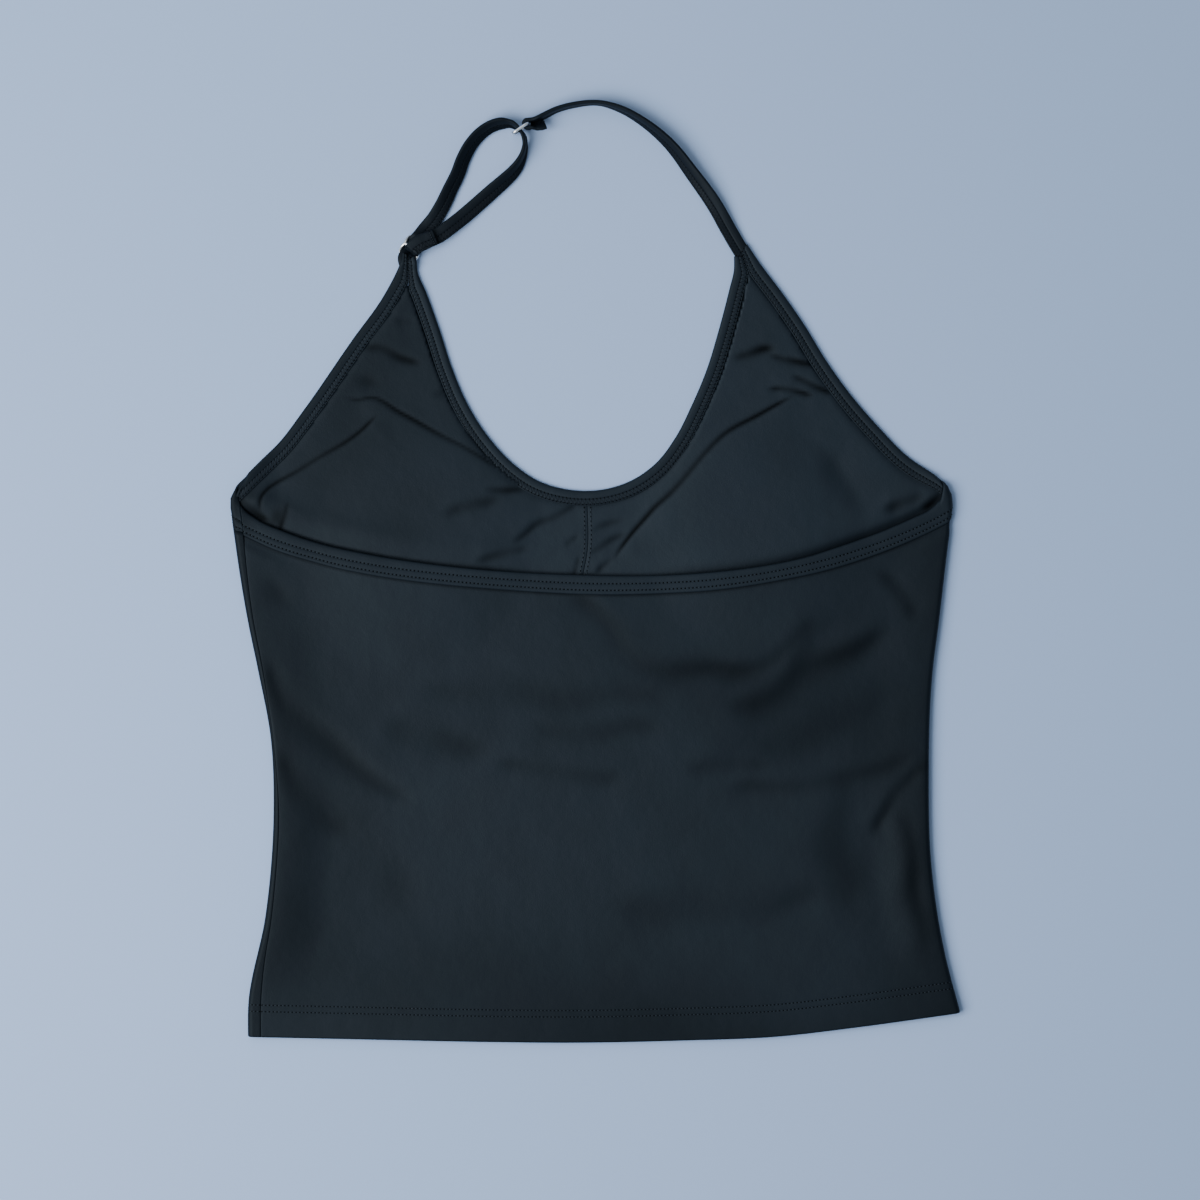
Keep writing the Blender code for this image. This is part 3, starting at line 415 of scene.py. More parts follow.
def back_height(x, y, banded):
    """Height of the back's outer face, where it lies flat on the layers below."""
    hem = 1 - smooth(*HEM_SPREAD, y - hem_edge(x))
    cloth = CLOTH + (HEM_CLOTH - CLOTH) * hem
    below = cloth + (lining_top(x, y) - CLOTH) * smooth(*LINING_SPREAD, y - lining_edge(x))
    laid = below + EASE * (1 - 0.5 * hem) + (BINDING if banded else cloth)
    inside = inside_by(x, y) - SIDE_RADIUS
    flat = SIDE_HEIGHT + (laid - SIDE_HEIGHT) * smooth(*EASE_SPAN, inside)
    height, _ = folded(BACK_FOLDS, x, y)
    return flat + height * (1 - 0.7 * hem) * smooth(0, 8, inside) * (not banded)


# ---- the flattened tube ----

def fold_start(side, y):
    """x where the flat part of a sheet ends and its side fold begins; side is -1 left, 1 right."""
    return left_side(y) + SIDE_RADIUS if side < 0 else right_side(y) - SIDE_RADIUS


def on_tube(unrolled, y, from_back, banded=False):
    """Outer face and outward normal of a sheet at an unrolled x and a y; banded is the back's binding."""
    unrolled, y = np.broadcast_arrays(np.asarray(unrolled, float), np.asarray(y, float))
    left = fold_start(-1, y)
    right = fold_start(1, y)
    over = np.maximum(left - unrolled, 0) + np.maximum(unrolled - right, 0)
    outwards = np.where(unrolled < left, -1, 1)
    start = np.where(unrolled < left, left, right)
    angle = np.clip(over / SIDE_RADIUS, 0, math.pi)
    beyond = np.maximum(over - HALF_TURN, 0)
    turned = start + outwards * (SIDE_RADIUS * np.sin(angle) - beyond)
    x = np.where(over > 0, turned, unrolled)
    z = SIDE_RADIUS - SIDE_RADIUS * np.cos(angle)
    normal = np.stack([outwards * np.sin(angle), 0 * x, -np.cos(angle)], axis=-1)
    if from_back:
        z = np.where(over > 0, SIDE_HEIGHT - z, back_height(x, y, banded))
        normal[..., 2] *= -1
    else:
        z = z + POINT_LIFT * smooth(*POINT_CLIMB, y) * (x < 0)
        z = z + corner_lift(x, y) * (1 - angle / math.pi)
    return np.stack([x, y, z], axis=-1), normal


def left_seam(y):
    """Unrolled x of the left side seam on the front's sheet."""
    inset = seam_inset(y)
    turning = np.clip((SIDE_RADIUS - inset) / SIDE_RADIUS, 0, 1)
    over = np.where(inset < SIDE_RADIUS, SIDE_RADIUS * (math.pi - np.arcsin(turning)),
                    HALF_TURN + inset - SIDE_RADIUS)
    return fold_start(-1, y) - over


def seam_on_back(y):
    """The same seam's unrolled x on the back's sheet."""
    return 2 * fold_start(-1, y) - HALF_TURN - left_seam(y)


# ---- the bindings' edges ----

BAND_STATIONS = round(376 / STATION)  # along the flat part of the back's binding
TURN_STATIONS = 20  # round a side
SIDE_Y = 27.0  # about where the bindings go round a side
BAND_ENDS = ((34.6, 39.6), (20.4, 26.4))  # y of its two edges at its left and right end, nearly


def normals_of(line, sign):
    """Unit vectors across a line of x, y points, to the left of its way (sign 1) or right (-1)."""
    way = unit(np.gradient(line, axis=0))
    return sign * np.stack([-way[:, 1], way[:, 0]], axis=1)


def outer_edge(table):
    return curve(table, round(path_length(np.array(table))[-1] / STATION))


def held_off(inner, point, sign):
    """Keep a binding's inner edge on its own side of the line down the middle of a front point."""
    (end_x, end_y), (tip_x, tip_y) = point
    middle = tip_x + (inner[:, 1] - tip_y) * (end_x - tip_x) / (end_y - tip_y)
    limit = middle + sign * GAP / 4
    kept = inner.copy()
    near = np.abs(inner[:, 0] - tip_x) < 2 * BINDING_WIDTH
    pick = np.maximum if sign > 0 else np.minimum
    kept[:, 0] = np.where(near, pick(inner[:, 0], limit), inner[:, 0])
    return kept


def armhole_edges(table, side, point):
    """Outer and inner edge of an armhole binding while it is flat; side is -1 left, 1 right."""
    outer = outer_edge(table)
    walk = path_length(outer)
    turn = smooth(-CORNER_BLEND[0], -CORNER_BLEND[1], walk - walk[-1])[:, None]
    square = normals_of(outer, -side) * BINDING_WIDTH
    inner = outer + square * (1 - turn) + np.array(CORNER[side]) * turn
    return outer, held_off(inner, point, side)


def left_armhole_edges():
    """The left armhole binding: flat, then round the left fold to the seam."""
    over = np.linspace(0, float(fold_start(-1, SIDE_Y) - left_seam(SIDE_Y)), TURN_STATIONS)[1:]
    flat_edges = armhole_edges(LEFT_ARMHOLE, -1, LEFT_POINT)
    edges = []
    for flat, turned in zip(flat_edges, (LEFT_ARMHOLE_TURN, LEFT_ARMHOLE_LOW)):
        y = graph(turned)(over)
        edges.append(np.concatenate([flat, np.stack([fold_start(-1, y) - over, y], axis=1)]))
    return edges


def neck_edges():
    outer = outer_edge(NECK)
    inner = held_off(outer + normals_of(outer, -1) * BINDING_WIDTH, LEFT_POINT, 1)
    return outer, held_off(inner, RIGHT_POINT, -1)


def back_band_edges():
    """Top and lower edge of the back's binding, from the side seam round the right fold."""
    inset = float(seam_on_back(SIDE_Y) - fold_start(-1, SIDE_Y))
    share = np.concatenate([np.linspace(0, 1, BAND_STATIONS), np.ones(TURN_STATIONS)])
    down = np.concatenate([np.zeros(BAND_STATIONS), np.linspace(0, HALF_TURN, TURN_STATIONS + 1)[1:]])
    edges = []
    for height, ends in zip((back_top, back_low), BAND_ENDS):
        nominal_y = np.linspace(*ends, len(share))
        left = fold_start(-1, nominal_y) + inset
        x = left + (fold_start(1, nominal_y) - left) * share + down
        edges.append(np.stack([x, height(x)], axis=1))
    return edges


LEFT_ARMHOLE_EDGES = left_armhole_edges()
RIGHT_ARMHOLE_EDGES = armhole_edges(RIGHT_ARMHOLE, 1, RIGHT_POINT)
NECK_EDGES = neck_edges()
BACK_BAND_EDGES = back_band_edges()


def below_edge(edges, x):
    """y of a binding's inner edge at x."""
    line = edges[1][np.argsort(edges[1][:, 0])]
    return np.interp(x, line[:, 0], line[:, 1])


def front_top(x):
    """Top edge of the front and of the lining, under the neck and armhole bindings."""
    arm = np.where(x < 0, below_edge(LEFT_ARMHOLE_EDGES, x), below_edge(RIGHT_ARMHOLE_EDGES, x))
    beside = (x < LEFT_POINT[1][0]) | (x > RIGHT_POINT[1][0])
    top = np.where(beside, arm, below_edge(NECK_EDGES, x))
    return np.minimum(top, np.where(x < 0, LEFT_POINT[1][1], RIGHT_POINT[1][1]) + 0.5)


# ---- materials ----

PAINTED_SHADE_COLOUR = (0.0008, 0.001, 0.0014)  # painted shade: near-black for the deepest painted hollows and for the needle-hole marks
PAINTED_SHADE_GLOSS = 0.05  # specular level where the painted shade is deepest
SHEEN = (0.78, 0.93, 1.0)
TONE_SPAN = (0.35, 0.68)  # of the noise, from a knit's dark tone to its light one
METAL_ROUGHNESS = (0.24, 0.4)
# noise: repeats per metre, detail, roughness; and bumps: strength, distance in metres
TONE = (28, 4, 0.6)
UNEVEN = (60, 3, 0.55)
UNEVEN_BUMP = (0.3, 0.0012)
GRAIN = (1500, 2, 0.6)
GRAIN_BUMP = (0.3, 0.00025)
TWIST = (2500, 1, 0.5)
TWIST_BUMP = (0.5, 0.0002)
WEAR = (900, 3, 0.5)


def feed(tree, node, inputs):
    """Fill a node's inputs: another node's output is linked, and anything else is a constant."""
    for key, value in inputs.items():
        if isinstance(value, bpy.types.NodeSocket):
            tree.links.new(value, node.inputs[key])
        else:
            node.inputs[key].default_value = value
    return node


def add(tree, kind, inputs):
    """A new shader node with some of its inputs filled."""
    return feed(tree, tree.nodes.new("ShaderNode" + kind), inputs)


def surface(name, inputs):
    """A material, its nodes, and its shader with some inputs filled."""
    made = bpy.data.materials.new(name)
    made.use_nodes = True
    tree = made.node_tree
    return made, tree, feed(tree, tree.nodes["Principled BSDF"], inputs)


def noise(tree, scale, detail, roughness):
    """Noise in object space."""
    where = add(tree, "TexCoord", {}).outputs["Object"]
    inputs = {"Vector": where, "Scale": scale, "Detail": detail, "Roughness": roughness}
    return add(tree, "TexNoise", inputs).outputs["Fac"]


def bump(tree, height, strength, distance, before=None):
    made = add(tree, "Bump", {"Height": height, "Strength": strength, "Distance": distance})
    if before is not None:
        feed(tree, made, {"Normal": before})
    return made.outputs["Normal"]


def knit(name, dark, light, specular, roughness=0.56):
    """Fine smooth knit: faint tone changes, a soft unevenness, a tight grain, and painted shade that darkens
    it and dulls its gloss where a mesh's points ask for it.
    """
    made, tree, shader = surface(name, {"Roughness": roughness, "Specular Tint": (*SHEEN, 1)})
    ramp = add(tree, "ValToRGB", {"Fac": noise(tree, *TONE)})
    for end, position, colour in zip(ramp.color_ramp.elements, TONE_SPAN, (dark, light)):
        end.position = position
        end.color = (*colour, 1)
    # painted shade: a per-point attribute mixes the colour towards near-black and lowers the gloss
    painted_shade = tree.nodes.new("ShaderNodeAttribute")
    painted_shade.attribute_name = "painted_shade"
    shade = tree.nodes.new("ShaderNodeMix")
    shade.data_type = "RGBA"
    feed(tree, shade, {"Factor": painted_shade.outputs["Fac"], "A": ramp.outputs["Color"], "B": (*PAINTED_SHADE_COLOUR, 1)})
    span = {"To Min": specular, "To Max": PAINTED_SHADE_GLOSS}
    gloss = add(tree, "MapRange", {"Value": painted_shade.outputs["Fac"], **span})
    soft = bump(tree, noise(tree, *UNEVEN), *UNEVEN_BUMP)
    feed(tree, shader, {"Base Color": shade.outputs["Result"], "Specular IOR Level": gloss.outputs["Result"],
                        "Normal": bump(tree, noise(tree, *GRAIN), *GRAIN_BUMP, soft)})
    return made


def plain(name, colour, roughness, specular):
    return surface(name, {"Base Color": (*colour, 1), "Roughness": roughness, "Specular IOR Level": specular})


def thread(name, colour, specular):
    made, tree, shader = plain(name, colour, 0.5, specular)
    feed(tree, shader, {"Normal": bump(tree, noise(tree, *TWIST), *TWIST_BUMP)})
    return made


def polished_metal():
    made, tree, shader = surface("trim_metal", {"Base Color": (0.95, 0.95, 0.94, 1), "Metallic": 1})
    span = dict(zip(("To Min", "To Max"), METAL_ROUGHNESS))
    worn = add(tree, "MapRange", {"Value": noise(tree, *WEAR), **span})
    feed(tree, shader, {"Roughness": worn.outputs["Result"]})
    return made


# a look is a material and the slot of the pieces that have it
SHELL = (knit("shell_knit", (0.0044, 0.0073, 0.0122), (0.0053, 0.0090, 0.0147), 0.23), "shell_knit")
LINING = (knit("lining_knit", (0.0056, 0.0094, 0.0156), (0.0066, 0.0113, 0.0186), 0.28), "lining_knit")
BOUND = (knit("binding_knit", (0.0047, 0.0080, 0.0133), (0.0056, 0.0096, 0.0158), 0.24, 0.6), "binding_knit")
STRAP = (knit("strap_knit", (0.0022, 0.0037, 0.0069), (0.0027, 0.0047, 0.0086), 0.18, 0.6), "binding_knit")
METAL = (polished_metal(), "trim_metal")
THREAD = thread("sewing_thread", (0.0130, 0.0235, 0.036), 0.4)
LOOPER_THREAD = thread("looper_thread", (0.0036, 0.0064, 0.0108), 0.12)
# painted shade: flat near-black marks where the needle holes between stitches fall
HOLE_SHADE = plain("needle_hole_shade", PAINTED_SHADE_COLOUR, 0.9, 0.05)[0]


# ---- meshes ----

def placed(name, data):
    made = bpy.data.objects.new(name, data)
    bpy.context.scene.collection.objects.link(made)
    return made


def riding(name, data, look, replaces):
    """An object with the material of its look, which rides on the garment."""
    material, slot = look
    data.materials.append(material)
    made = placed(name, data)
    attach(made, "root")
    if replaces:
        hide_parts(*replaces)
    return made


def piece(name, verts, faces, look, replaces=()):
    """A smooth mesh from points in millimetres that rides on the garment."""
    mesh = bpy.data.meshes.new(name)
    mesh.from_pydata((np.asarray(verts) * MM).tolist(), [], [list(map(int, face)) for face in faces])
    mesh.shade_smooth()
    return riding(name, mesh, look, replaces)


def darken(made, painted_shade):
    """Tell a knit how much each point of its mesh is shaded."""
    made.data.attributes.new("painted_shade", "FLOAT", "POINT").data.foreach_set("value", painted_shade)


def grid_faces(rows, columns, closed=False):
    """Quads of a grid of points; closed joins its last column to its first."""
    index = np.arange(rows * columns).reshape(rows, columns)
    if closed:
        index = np.concatenate([index, index[:, :1]], axis=1)
    corners = (index[:-1, :-1], index[:-1, 1:], index[1:, 1:], index[1:, :-1])
    return np.stack(corners, axis=-1).reshape(-1, 4)


def sheet(name, points, painted_shade, flip, look, replaces, kept=True):
    """A sheet of cloth whose skin runs through the kept points of a grid, with its wall behind the skin."""
    shape = points.shape[:2]
    faces = grid_faces(*shape)
    if flip:
        faces = faces[:, ::-1]
    faces = faces[np.broadcast_to(kept, shape).ravel()[faces].all(axis=1)]
    used, faces = np.unique(faces, return_inverse=True)
    made = piece(name, points.reshape(-1, 3)[used], faces.reshape(-1, 4), look, replaces)
    darken(made, np.broadcast_to(painted_shade, shape).ravel()[used])
    solid = made.modifiers.new("wall", "SOLIDIFY")
    solid.thickness = WALL * MM
    solid.offset = -1
    return made


def loft(name, rings, flip, look, replaces):
    """A closed strip through rings of points, with flat ends."""
    stations, around = rings.shape[:2]
    faces = grid_faces(stations, around, closed=True).tolist()
    faces += [list(range(around))[::-1], list(range((stations - 1) * around, stations * around))]
    if flip:
        faces = [face[::-1] for face in faces]
    made = piece(name, rings.reshape(-1, 3), faces, look, replaces)
    for end in (-2, -1):
        made.data.polygons[end].use_smooth = False
    return made


# ---- panels ----

SEAM_ALLOWANCE = GAP / 8  # between a panel's edge and the seam
PANEL_ROLL = 0.12  # how far a panel rolls down to its side seam, and over what distance
ROLL_REACH = 0.7
HEM_GROOVE = 0.12  # how far a row of the hem's stitches pulls the cloth in, and how far around
GROOVE_REACH = 0.8
# how far in from the left seam the back's first columns are, and where the even ones begin
SEAM_COLUMNS = (0, 0.15, 0.4, 0.8, 1.4, 2.2, 3.2, 4.4, 5.8, 7.4)
SEAM_REACH = 9.0
BACK_COLUMNS = round(360 / GRID)
BACK_ROWS_UP = round(250 / GRID)  # above its hem
BACK_HEM_Y = -240.0  # where the x of a column is read for the hem
FOLD_COLUMNS = 12  # of the back round the right side
FRONT_ROWS_UP = 100
FRONT_HEM_Y = -244.0
WRAP_COLUMNS = 23  # of the front round the left side
BACK_TUCK = 1.5  # how far each cloth runs under its binding
FRONT_TUCK = 1.0
LINING_TUCK = 4.0
UNDER_BAND = (-7, -1.2)  # from the back binding's lower edge, over which the cloth sinks beneath it
BAND_SHADOW = (0.6, 1.1)  # beside the same edge: how dark, and how far
FRONT_COLUMNS = (26, 96, 30)  # left of the neckline, along it and right of it
WRAPPED_SHADE = 0.5  # of the front where it has gone round the left side
# beside the back's band the lining dips, and then swells; each value is the one in the lining's
# middle, what it gains to the left side and what it gains to the right side
DIP_REACH = (0.9, 0.1, 2.2)
DIP_DEPTH = (0.3, 0.3, 0.8)
DIP_SHADE = (0.1, 0.3, 0.5)
SWELL = (0.2, 0.5, 0.5)
GAIN_SPAN = (30, 150)  # distances from the middle over which they gain it
SWELL_PLACE = (10, 7)  # the swell's distance from the band, and how far around
SWELL_SPAN = (1, 10)  # distances from the bound edges over which it sets in
BAND_CAST = (0.42, 20, 60)  # shade that the band casts, and from where to where it sets in
MORE_CAST = (0.23, 90, 130)  # and more on the right
CAST_REACH = 3.6
EDGE_DIP = (0.5, 1.8)  # depth and reach of the dip to the bound edges
EDGE_SHADE = 0.3
SEAM_DIP = (0.14, 0.7)  # the same for the centre seam
SEAM_SHADE = 0.2
SEAM_SWELL = (0.03, 1.1)  # and for the swell under the rows beside it


def hem_rows(low):
    """Rows of y and depth for a hem turned once: up its hidden layer, round the edge, and out."""
    radius = TURNED_DEPTH / 2
    top = HEM_DEPTH - 0.5
    hidden = [(top - share * (top - radius), TURNED_DEPTH) for share in np.linspace(0, 1, 7)]
    bend = [(radius - radius * math.sin(angle), radius + radius * math.cos(angle))
            for angle in np.linspace(0, math.pi, 9)[1:]]
    rows = np.array(hidden + bend)
    return low + rows[:, :1], rows[:, 1:] + 0 * low


def panel(unrolled, seam, low_y, high, rows, from_back, stitched=True):
    """Skin, normals, y and depth of a panel, from its hem's hidden layer to its top edge.

    It rolls down a little to its side seam, and its hem's stitches pull in the outer layer."""
    low = hem_edge(on_tube(unrolled(low_y), low_y, from_back)[0][:, 0])
    hem_y, hem_depth = hem_rows(low)
    share = np.concatenate([np.linspace(0, HEM_SHARE[0], HEM_SHARE[1]),
                            np.linspace(HEM_SHARE[0], 1, rows)[1:]])[1:, None]
    y = np.concatenate([hem_y, hem_y[-1] + (high - hem_y[-1]) * share])
    depth = np.concatenate([hem_depth, 0 * y[len(hem_y):]])
    skin, normal = on_tube(unrolled(y), y, from_back)
    roll = PANEL_ROLL * np.exp(-(unrolled(y) - seam(y)) / ROLL_REACH)
    above = y - hem_edge(skin[..., 0])
    groove = sum(HEM_GROOVE * bell(above - row, GROOVE_REACH) for row in HEM_ROWS)
    return skin, normal, y, depth + roll + groove * (depth < 1) * stitched


def back_cloth():
    left_in = np.array(SEAM_COLUMNS)
    turning = np.linspace(0, 1, FOLD_COLUMNS + 1)[1:]
    across = np.concatenate([0 * left_in, np.linspace(0, 1, BACK_COLUMNS + 1)[1:], np.ones(FOLD_COLUMNS)])
    down = np.concatenate([np.zeros(len(left_in) + BACK_COLUMNS), turning])
    inset = np.concatenate([left_in, np.full(BACK_COLUMNS + FOLD_COLUMNS, SEAM_REACH)])

    def unrolled(y):
        start = seam_on_back(y) + SEAM_ALLOWANCE
        width = fold_start(1, y) - start - SEAM_REACH
        return start + inset + width * across + (HALF_TURN - 0.1) * down

    high = back_low(unrolled(10.0)) + BACK_TUCK
    skin, normal, y, depth = panel(unrolled, seam_on_back, BACK_HEM_Y, high, BACK_ROWS_UP, True)
    x = skin[..., 0]
    under_band = smooth(*UNDER_BAND, y - back_low(x))
    near_side = 1 - smooth(*EASE_SPAN, inside_by(x, y) - SIDE_RADIUS)
    depth = depth + BAND_PROUD * under_band * near_side
    _, painted_shade = folded(BACK_FOLDS, x, y)
    shadow = BAND_SHADOW[0] * bell(np.maximum(back_low(x) - y, 0), BAND_SHADOW[1])
    painted_shade = np.maximum(painted_shade, shadow)
    return sheet("back_cloth", skin - normal * depth[..., None], painted_shade, False, SHELL, ["back_panel"])


def front_columns():
    """x of the front's columns between the side folds, evenly spaced along its curved top."""
    inner = NECK_EDGES[1]
    left_x = LEFT_POINT[1][0]
    right_x = RIGHT_POINT[1][0]
    inner = inner[(inner[:, 0] > left_x) & (inner[:, 0] < right_x) & (inner[:, 1] < LEFT_POINT[1][1])]
    walk = path_length(inner)
    middle = np.interp(np.linspace(0, walk[-1], FRONT_COLUMNS[1]), walk, inner[:, 0])
    return np.concatenate([
        np.linspace(float(fold_start(-1, CORNER_HEIGHT)), left_x, FRONT_COLUMNS[0]), middle[1:-1],
        np.linspace(right_x, float(fold_start(1, CORNER_HEIGHT)), FRONT_COLUMNS[2])])


def front_cloth():
    level = front_columns()
    turn = np.concatenate([np.linspace(0, 1, WRAP_COLUMNS + 1)[:-1], np.ones(len(level))])
    share = np.concatenate([np.zeros(WRAP_COLUMNS), (level - level[0]) / (level[-1] - level[0])])

    def unrolled(y):
        left = fold_start(-1, np.minimum(y, CORNER_HEIGHT))
        seam = left_seam(y) + SEAM_ALLOWANCE
        right = fold_start(1, np.minimum(y, CORNER_HEIGHT)) - GAP
        return seam + (left - seam) * turn + (right - left) * share

    round_fold = (fold_start(-1, 30.0) - unrolled(30.0))[:WRAP_COLUMNS]
    high = np.concatenate([graph(LEFT_ARMHOLE_LOW)(round_fold), front_top(level)]) + FRONT_TUCK
    skin, normal, _, depth = panel(unrolled, left_seam, FRONT_HEM_Y, high, FRONT_ROWS_UP, False, turn < 1)
    return sheet("front_cloth", skin - normal * depth[..., None], WRAPPED_SHADE * (turn < 1), True,
                 SHELL, ["front_panel"])


def lining_surface(x, y, top):
    """Height of the lining's upper face, and its painted shade: in its folds, beside the back's band, at its
    bound edges and at its centre seam.

    It dips to its bound edges and below the back's band, and swells a little beside the band."""
    def gained(middle, left, right):
        return middle + np.where(x < 0, left, right) * smooth(*GAIN_SPAN, np.abs(x))

    below_top = np.maximum(top - y, 0)
    above_band = y - back_top(x)
    from_band = np.maximum(above_band, 0)
    near_band = bell(from_band, gained(*DIP_REACH))
    from_seam = np.abs(x - centre_seam(y))
    edge = EDGE_DIP[0] * np.exp(-below_top / EDGE_DIP[1])
    dip = gained(*DIP_DEPTH) * near_band
    swell = gained(*SWELL) * bell(above_band - SWELL_PLACE[0], SWELL_PLACE[1])
    swell = swell * smooth(*SWELL_SPAN, below_top)
    seam = SEAM_DIP[0] * np.exp(-from_seam / SEAM_DIP[1])
    seam = seam - SEAM_SWELL[0] * bell(from_seam - SEAM_ROW, SEAM_SWELL[1])
    height, painted_shade = folded(LINING_FOLDS, x, y)
    z = lining_top(x, y) + smooth(0, 10, inside_by(x, y)) * height - edge - dip + swell - seam
    cast = shade(*BAND_CAST, np.abs(x)) + shade(*MORE_CAST, x)
    painted_shade = np.maximum.reduce([painted_shade, gained(*DIP_SHADE) * near_band, cast * bell(from_band, CAST_REACH),
                                EDGE_SHADE * np.exp(-below_top), SEAM_SHADE * bell(from_seam, SEAM_DIP[1])])
    return np.maximum(z, CLOTH + 0.35) + corner_lift(x, y), painted_shade


def lining_cloth(name, side, replaces):
    seam_x = float(centre_seam(40.0))
    outer_x = float(fold_start(side, CORNER_HEIGHT))
    near_seam = seam_x + side * np.array((0, 0.3, 0.6))
    rest = np.linspace(seam_x + side * 1.2, outer_x, round(abs(outer_x - seam_x) / LINING_GRID[0]))
    level = np.concatenate([near_seam, rest])[::side]
    share = (level - outer_x) / (seam_x - outer_x)
    top = front_top(level)
    height = top.max() + LINING_TUCK - lining_edge(level)
    y = lining_edge(level) + height * np.linspace(0, 1, LINING_GRID[1])[:, None]
    outer = fold_start(side, np.minimum(y, CORNER_HEIGHT)) - side * GAP
    x = outer + (centre_seam(y) + side * GAP / 10 - outer) * share
    z, painted_shade = lining_surface(x, y, top)
    around = np.pad(top, 1, mode="edge")
    under_binding = np.minimum.reduce([around[:-2], top, around[2:]]) + LINING_TUCK
    return sheet(name, np.stack([x, y, z], axis=-1), painted_shade, False, LINING, replaces, y < under_binding)


# ---- bindings ----
# Profiles: share of the way from the outer edge to the inner one, and depth from the skin.

PLAIN_ROW = 0.55
INNER_ROW = 0.9
FRONT_PROFILE = (
    (0.03, 0.04), (0.2, 0), (0.4, -0.04), (0.5, 0.02), (0.55, 0.26), (0.6, 0.02), (0.7, -0.03),
    (0.85, 0.02), (0.9, 0.26), (0.94, 0.03), (0.98, 0.12), (1, 0.5), (1, 1.7), (0.985, 2.1),
    (0.955, 2.28), (0.93, 2.24), (0.9, 2.08), (0.87, 2.24), (0.82, 2.3), (0.72, 2.32), (0.63, 2.3),
    (0.58, 2.26), (0.55, 2.1), (0.52, 2.26), (0.47, 2.36), (0.38, 2.44), (0.26, 2.44), (0.15, 2.36),
    (0.07, 2.15), (0.02, 1.6), (0, 0.95), (0.008, 0.4))
BACK_ROWS = (0.42, 0.77)
BAND_RIM = 0.28  # share of the back binding's width above its rows
BAND_WIDTH = 10.0  # past this width only its rim widens
MET_ROWS = (0.64, 0.86)  # shares at which the left armhole's rows meet the back's
BACK_PROFILE = (
    (0, 1.2), (0.006, 0.7), (0.025, 0.3), (0.07, 0.03), (0.16, -0.1), (0.28, -0.08), (0.37, 0),
    (0.42, 0.2), (0.47, 0), (0.53, -0.05), (0.6, -0.07), (0.67, -0.05), (0.72, 0), (0.77, 0.2),
    (0.82, 0), (0.88, 0), (0.94, 0.05), (0.985, 0.25), (1, 0.6), (1, 1.4), (0.97, 2.1), (0.6, 2.2),
    (0.2, 2.2), (0.02, 1.9))
# how much the bindings are shaded, and how far left of the middle that sets in
BAND_SHADE = (0.22, 50, 140)  # the back's
END_SHADE = (0.25, 176, 188)  # and more at its left end
TURN_SHADE = (WRAPPED_SHADE, 184, 190)  # the front's
RIM_SHADE = 0.36  # and their rim's
RIM_SPAN = (62, 85)
NARROW_RIM = (0.1, 0.24)  # shares of the width over which the shade of that rim ends
BROAD_RIM = (0.35, 0.6)  # the same for the left armhole's


def strip_at(edges, share, depth, from_back):
    """Points of a binding at a share of its width and a depth, and the skin's outward normals.

    Once the left armhole's binding has gone round the side, its rows meet those of the back's."""
    outer, inner = edges
    if from_back:
        narrow = np.minimum(BAND_WIDTH / np.linalg.norm(inner - outer, axis=1), 1)
        rim = 1 - (1 - BAND_RIM) * narrow
        share = (share / BAND_RIM * rim if share < BAND_RIM else 1 - (1 - share) * narrow)[:, None]
    else:
        wrapped = smooth(0, 5, fold_start(-1, outer[:, 1]) - outer[:, 0])
        met = np.interp(share, (0, PLAIN_ROW, INNER_ROW, 1), (0, *MET_ROWS, 1))
        share = (share + (met - share) * wrapped)[:, None]
    flat = outer + (inner - outer) * share
    skin, normal = on_tube(flat[:, 0], flat[:, 1], from_back, from_back)
    return skin - normal * depth, normal


def binding_cloth(name, edges, profile, from_back, replaces):
    """A folded binding, shaded towards the left: the back's all across, and the front's at its rim."""
    rings = np.stack([strip_at(edges, share, depth, from_back)[0] for share, depth in profile], axis=1)
    made = loft(name, rings, not from_back, BOUND, replaces)
    leftwards = -rings[..., 0]
    if from_back:
        painted_shade = shade(*BAND_SHADE, leftwards) + shade(*END_SHADE, leftwards)
    else:
        rim_end = BROAD_RIM if edges is LEFT_ARMHOLE_EDGES else NARROW_RIM
        rim = 1 - smooth(*rim_end, np.array(profile)[:, 0])
        painted_shade = np.maximum(RIM_SHADE * rim * smooth(*RIM_SPAN, leftwards), shade(*TURN_SHADE, leftwards))
    darken(made, painted_shade.ravel())
    return made


# ---- stitches ----

STITCH = 2.0
STITCH_RADIUS = 0.16
SIDES = 5
CAPSULE = (0.2, 0.8)  # shares of a stitch's length between which it has its full radius
HOLE_HALF = 0.38  # half the length of a needle hole
HOLE_FLAT = 0.4  # its depth as a share of its width
INNER_DEPTH = 2.12  # below the skin, of the rows on the inner side of the front's bindings
OUTER_DEPTH = 0.2  # of the rows on their outer side
BAND_DEPTH = 0.14  # of the rows on the back's binding
HEM_STITCH_DEPTH = 0.1


def capsules(name, pairs, radius, look, flat):
    """Small threads with pointed ends between pairs of points, in one mesh."""
    starts, ends = (np.concatenate(points) for points in zip(*pairs))
    way = unit(ends - starts)
    side = unit(np.cross(way, (1e-6, 1e-6, 1.0)))
    lift = np.cross(side, way)
    verts = []
    for along in CAPSULE:
        for angle in 2 * math.pi * np.arange(SIDES) / SIDES:
            spoke = side * math.cos(angle) + lift * flat * math.sin(angle)
            verts.append(starts + (ends - starts) * along + radius * spoke)
    verts += [starts, ends]
    block = len(verts)
    faces = []
    for step in range(SIDES):
        onward = (step + 1) % SIDES
        faces += [(step, SIDES + step, SIDES + onward, onward), (block - 2, step, onward),
                  (block - 1, SIDES + onward, SIDES + step)]
    stacked = np.stack(verts, axis=1).reshape(-1, 3)
    blocks = block * np.arange(len(starts))
    return piece(name, stacked, [[corner + at for corner in face] for at in blocks for face in faces], look)


def stitch_places(walk, pitch):
    return np.linspace(0, walk[-1], max(1, int(walk[-1] / pitch)) + 1)


